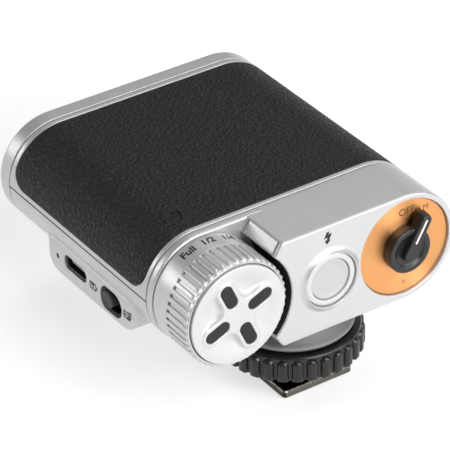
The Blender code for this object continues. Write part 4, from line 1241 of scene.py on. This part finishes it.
def contacts():
    """The sprung centre contact, the insert that holds it, and the locking pin."""
    low, high = low_high("contact_insert")
    radius = (high[0] - low[0]) / 2
    hole, seat, seat_floor = 1.4, 2.25, 3.0
    profile = [(hole, low[2]), *spun_arc(radius, low[2], -1, 1, 0.15), (radius, high[2]), (seat, high[2]),
               (seat, seat_floor), (hole, seat_floor)]
    insert = spun(profile, "Z", (0, 0), 64, loop=True)
    stand_in("contact_insert", insert, "flash_body", BLACK_MATT, "black_plastic")

    low, high = low_high("contact_pin")
    tip = ((0, 0), (0.35, 0.03), (0.72, 0.15), (0.98, 0.38), (1.1, 0.75))
    head_low, head_high = 2.3, high[2] - 0.15
    profile = [*[(r, low[2] + up) for r, up in tip], (1.1, head_low), (1.9, head_low), (1.9, head_high),
               (0, head_high)]
    stand_in("contact_pin", spun(profile, "Z", (0, 0), 48), "contact_pin", BRASS, "brass")

    low, high = low_high("lock_pin")
    radius = (high[0] - low[0]) / 2
    profile = [(0, low[2]), *spun_arc(radius, low[2], -1, 1, 0.25), (radius, high[2]), (0, high[2])]
    stand_in("lock_pin", spun(profile, "Z", centre_of("lock_pin")[:2], 40), "lock_pin", STEEL, "steel")


def lock_ring():
    """A round collar over half-round ribs whose upper ends are rounded too."""
    low, high = low_high("lock_ring")
    radius = (high[0] - low[0]) / 2
    bore, ribs, valley = 9.3, 30, radius - 0.85
    rib_top, collar = high[2] - 0.8, radius - 0.78
    foot_end = low[2] + 0.55                         # below this the ribs' lower ends round off
    pitch = math.tau / ribs
    half_width = 0.37 * pitch * radius
    spots = np.linspace(-0.5, 0.5, 19)[:-1]
    angles = np.array([(i + s) * pitch for i in range(ribs) for s in spots])
    across = np.abs(np.tile(spots, ribs)) * pitch * radius / half_width

    def level(r):
        return np.full(len(angles), r)

    def rib(z):
        beyond = max(z - (rib_top - half_width), foot_end - z, 0) / half_width
        fall = np.clip(1 - across ** 2 - beyond ** 2, 0, 1)
        return valley + (radius - valley) * fall ** 0.36

    domed = rib_top - half_width * np.array([0.02, 0.06, 0.13, 0.22, 0.34, 0.5, 0.7, 1.0])
    straight = np.linspace(rib_top - half_width - 0.5, low[2] + 0.7, 6)
    rows = [(level(bore), high[2]), (level(collar - 0.7), high[2]), (level(collar - 0.2), high[2] - 0.12),
            (level(collar), high[2] - 0.4), (level(collar), rib_top + 0.2), (level(valley), rib_top + 0.05)]
    rows += [(rib(z), z) for z in (*domed, *straight, low[2] + 0.5, low[2] + 0.3)]
    rows += [(np.minimum(rib(low[2] + 0.5), radius - 0.15), low[2] + 0.1), (level(valley - 0.2), low[2]),
             (level(bore), low[2])]
    rings = [lift("Z", polar((0, 0), r, angles), z) for r, z in rows]
    stand_in("lock_ring", loft(rings, loop=True), "lock_ring", BLACK_RING, "black_plastic", 40)


def foot():
    """The shoe plate with polished edges, its neck, and the holes for contact, pin and screws."""
    low, high = low_high("shoe_foot")
    thick, chamfer = 1.9, 0.32
    outline = distinct(rounded(high[0] - low[0], high[1] - low[1], 1.0, ((high + low) / 2)[:2], 8))
    sides = ((chamfer, low[2]), (0, chamfer), (0, thick - chamfer), (chamfer, thick))
    plate = add("shoe_foot_fine", loft([lift("Z", inset(outline, d), z) for d, z in sides]))
    join(plate, extruded(rounded(11.6, 15.0, 0.6, steps=5), thick / 2, high[2], "Z", 0, 0.15))
    through = high[2] + 1
    screw_hole = [(2.1, -1), (1.75, 0.02), (1.1, 0.95), (1.1, through), (0, through), (0, -1)]
    cut(plate, well(circle((0, 0), 3.1, 64), low[2], through, "Z", 0.2),
        well(circle((0, centre_of("lock_pin")[1]), 1.0, 40), low[2], through, "Z", 0.12),
        *[spun(screw_hole, "Z", centre_of(f"foot_screw_{i + 1}")[:2], 40) for i in range(4)])
    settle(plate, "flash_body", DARK_STEEL, "dark_metal", "shoe_foot")
    plate.data.materials.append(WORN_STEEL)
    plate.data.materials.append(END_STEEL)
    for face in plate.data.polygons:
        middle = face.center / MM
        sloped = 0.3 < abs(face.normal.z) < 0.95
        if sloped and middle.z < thick + 0.01 and math.hypot(middle.x, middle.y) > 8:
            face.material_index = 1
        elif abs(face.normal.y) > 0.9 and middle.z < thick and abs(middle.y) > 8.9:
            face.material_index = 2


def screws(group, slot, metal, rim, head):
    """Four cross-head screws. rim is a head's radius and head its height: a cone's for the foot's screws, and
    a cylinder's for the case's."""
    shank, dome = 0.8, 0.12
    for i in range(4):
        node = f"{group}_{i + 1}"
        low, high = low_high(node)
        centre = centre_of(node)[:2]
        under = [(shank, low[2] + head)]
        if group == "case_screw":
            under.insert(0, (rim, low[2] + head))
        profile = [(0, low[2]), (rim - 0.5, low[2] + 0.02), (rim - 0.12, low[2] + dome),
                   (rim, low[2] + dome + 0.12), *under, (shank, high[2] - 0.3), (shank - 0.3, high[2]),
                   (0, high[2])]
        piece = add(node + "_fine", spun(profile, "Z", centre, 40))
        arm = rounded(1.7, 0.36, 0.1, steps=2)
        arms = [turned_by(arm, a + 20 * i, centre) for a in (0, 90)]
        cut(piece, *[extruded(outline, low[2] - 1, low[2] + 0.42, "Z") for outline in arms])
        settle(piece, "flash_body", metal, slot, node)


# -------------------------------- what stays as the CAD made it

INSIDE = {
    "dial_shaft": STEEL, "mode_shaft": STEEL, "contact_spring": STEEL, "dial_switch": BLACK_MATT,
    "mode_switch": BLACK_MATT, "test_switch": BLACK_MATT, "shoe_stem": BLACK_MATT, "tube_cap_left": RUBBER,
    "tube_cap_right": RUBBER, "main_board": BOARD, "control_board": BOARD, "flash_capacitor": SLEEVE,
    "battery_cell": WRAP, "trigger_coil": BRASS,
}


def inner_parts():
    """Finishes the pieces that keep their CAD shape."""
    for node, material in INSIDE.items():
        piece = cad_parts[node]
        for slot in piece.material_slots:
            slot.material = material
        if not piece.material_slots:
            piece.data.materials.append(material)


# -------------------------------- floor, light and camera

# The camera's right and up, its place in metres, and its lens in millimetres
VIEW_RIGHT, VIEW_UP = Vector((0.8319, -0.5543, -0.025)), Vector((0.3164, 0.4369, 0.8421))
EYE = (-0.3194, -0.4699, 0.4013)
FOCAL_LENGTH, SENSOR = 245.08, 36.0


def floor():
    """A pale floor with some light of its own, which makes it as white as a lit paper sweep."""
    white = (1, 1, 1, 1)
    material = Finish("pale_floor", (0.45, 0.45, 0.45), 0.8, Emission_Color=white, Emission_Strength=0.62)
    material.mottle(90.0, 0.99)
    bm = bmesh.new()
    bmesh.ops.create_grid(bm, x_segments=2, y_segments=2, size=3.0)
    ground = add("floor", bm)
    ground.location.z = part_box("contact_pin")[0].z
    ground.data.materials.append(material.material)


def lamp(name, place, size, watts, aim=(0, 0.02, 0.03)):
    """A rectangular area light, aimed at the object's middle."""
    data = bpy.data.lights.new(name, "AREA")
    data.shape = "RECTANGLE"
    data.size, data.size_y = size
    data.energy = watts
    light = bpy.data.objects.new(name, data)
    light.location = place
    light.rotation_euler = (Vector(aim) - Vector(place)).to_track_quat("-Z", "Y").to_euler()
    bpy.context.scene.collection.objects.link(light)


def studio():
    """Soft light: most of it from the side that the back panel faces, the rest from above and beyond."""
    scene = bpy.context.scene
    world = bpy.data.worlds.new("studio")
    world.use_nodes = True
    background = world.node_tree.nodes["Background"]
    background.inputs["Color"].default_value = (1, 1, 1, 1)
    background.inputs["Strength"].default_value = 0.14
    scene.world = world
    scene.view_settings.view_transform = "Standard"
    lamp("key_softbox", (0.15, -0.95, 0.42), (0.55, 0.45), 6.6)
    lamp("high_softbox", (0.0, -0.8, 0.8), (0.6, 0.5), 5.5)
    lamp("right_softbox", (0.7, -0.75, 0.35), (0.5, 0.4), 3.3)
    lamp("top_softbox", (0.35, 0.3, 0.9), (0.6, 0.6), 2.6)
    lamp("far_left_softbox", (-0.75, 0.8, 0.38), (0.6, 0.4), 2.6)
    lamp("far_right_softbox", (0.9, 0.5, 0.5), (0.5, 0.5), 0.9)


def camera():
    data = bpy.data.cameras.new("camera")
    data.sensor_width = SENSOR
    data.lens = FOCAL_LENGTH
    data.clip_start, data.clip_end = 0.02, 20
    eye = bpy.data.objects.new("camera", data)
    right = VIEW_RIGHT.normalized()
    back = right.cross(VIEW_UP).normalized()
    up = back.cross(right)
    eye.matrix_world = Matrix((right, up, back)).transposed().to_4x4()
    eye.location = EYE
    bpy.context.scene.collection.objects.link(eye)
    bpy.context.scene.camera = eye


camera()
floor()
studio()
top_cover()
top_skin()
bottom_case()
front_bezel()
light_unit()
rear_housing()
dial_ring()
dial_face()
dial_numbers()
mode_selector()
test_button()
usb_socket()
switch_and_lamp()
shoe_base()
lock_ring()
clamp_plate()
foot()
contacts()
screws("foot_screw", "steel", STEEL, 1.3, 0.75)
screws("case_screw", "dark_metal", DARK_STEEL, 1.7, 0.6)
inner_parts()
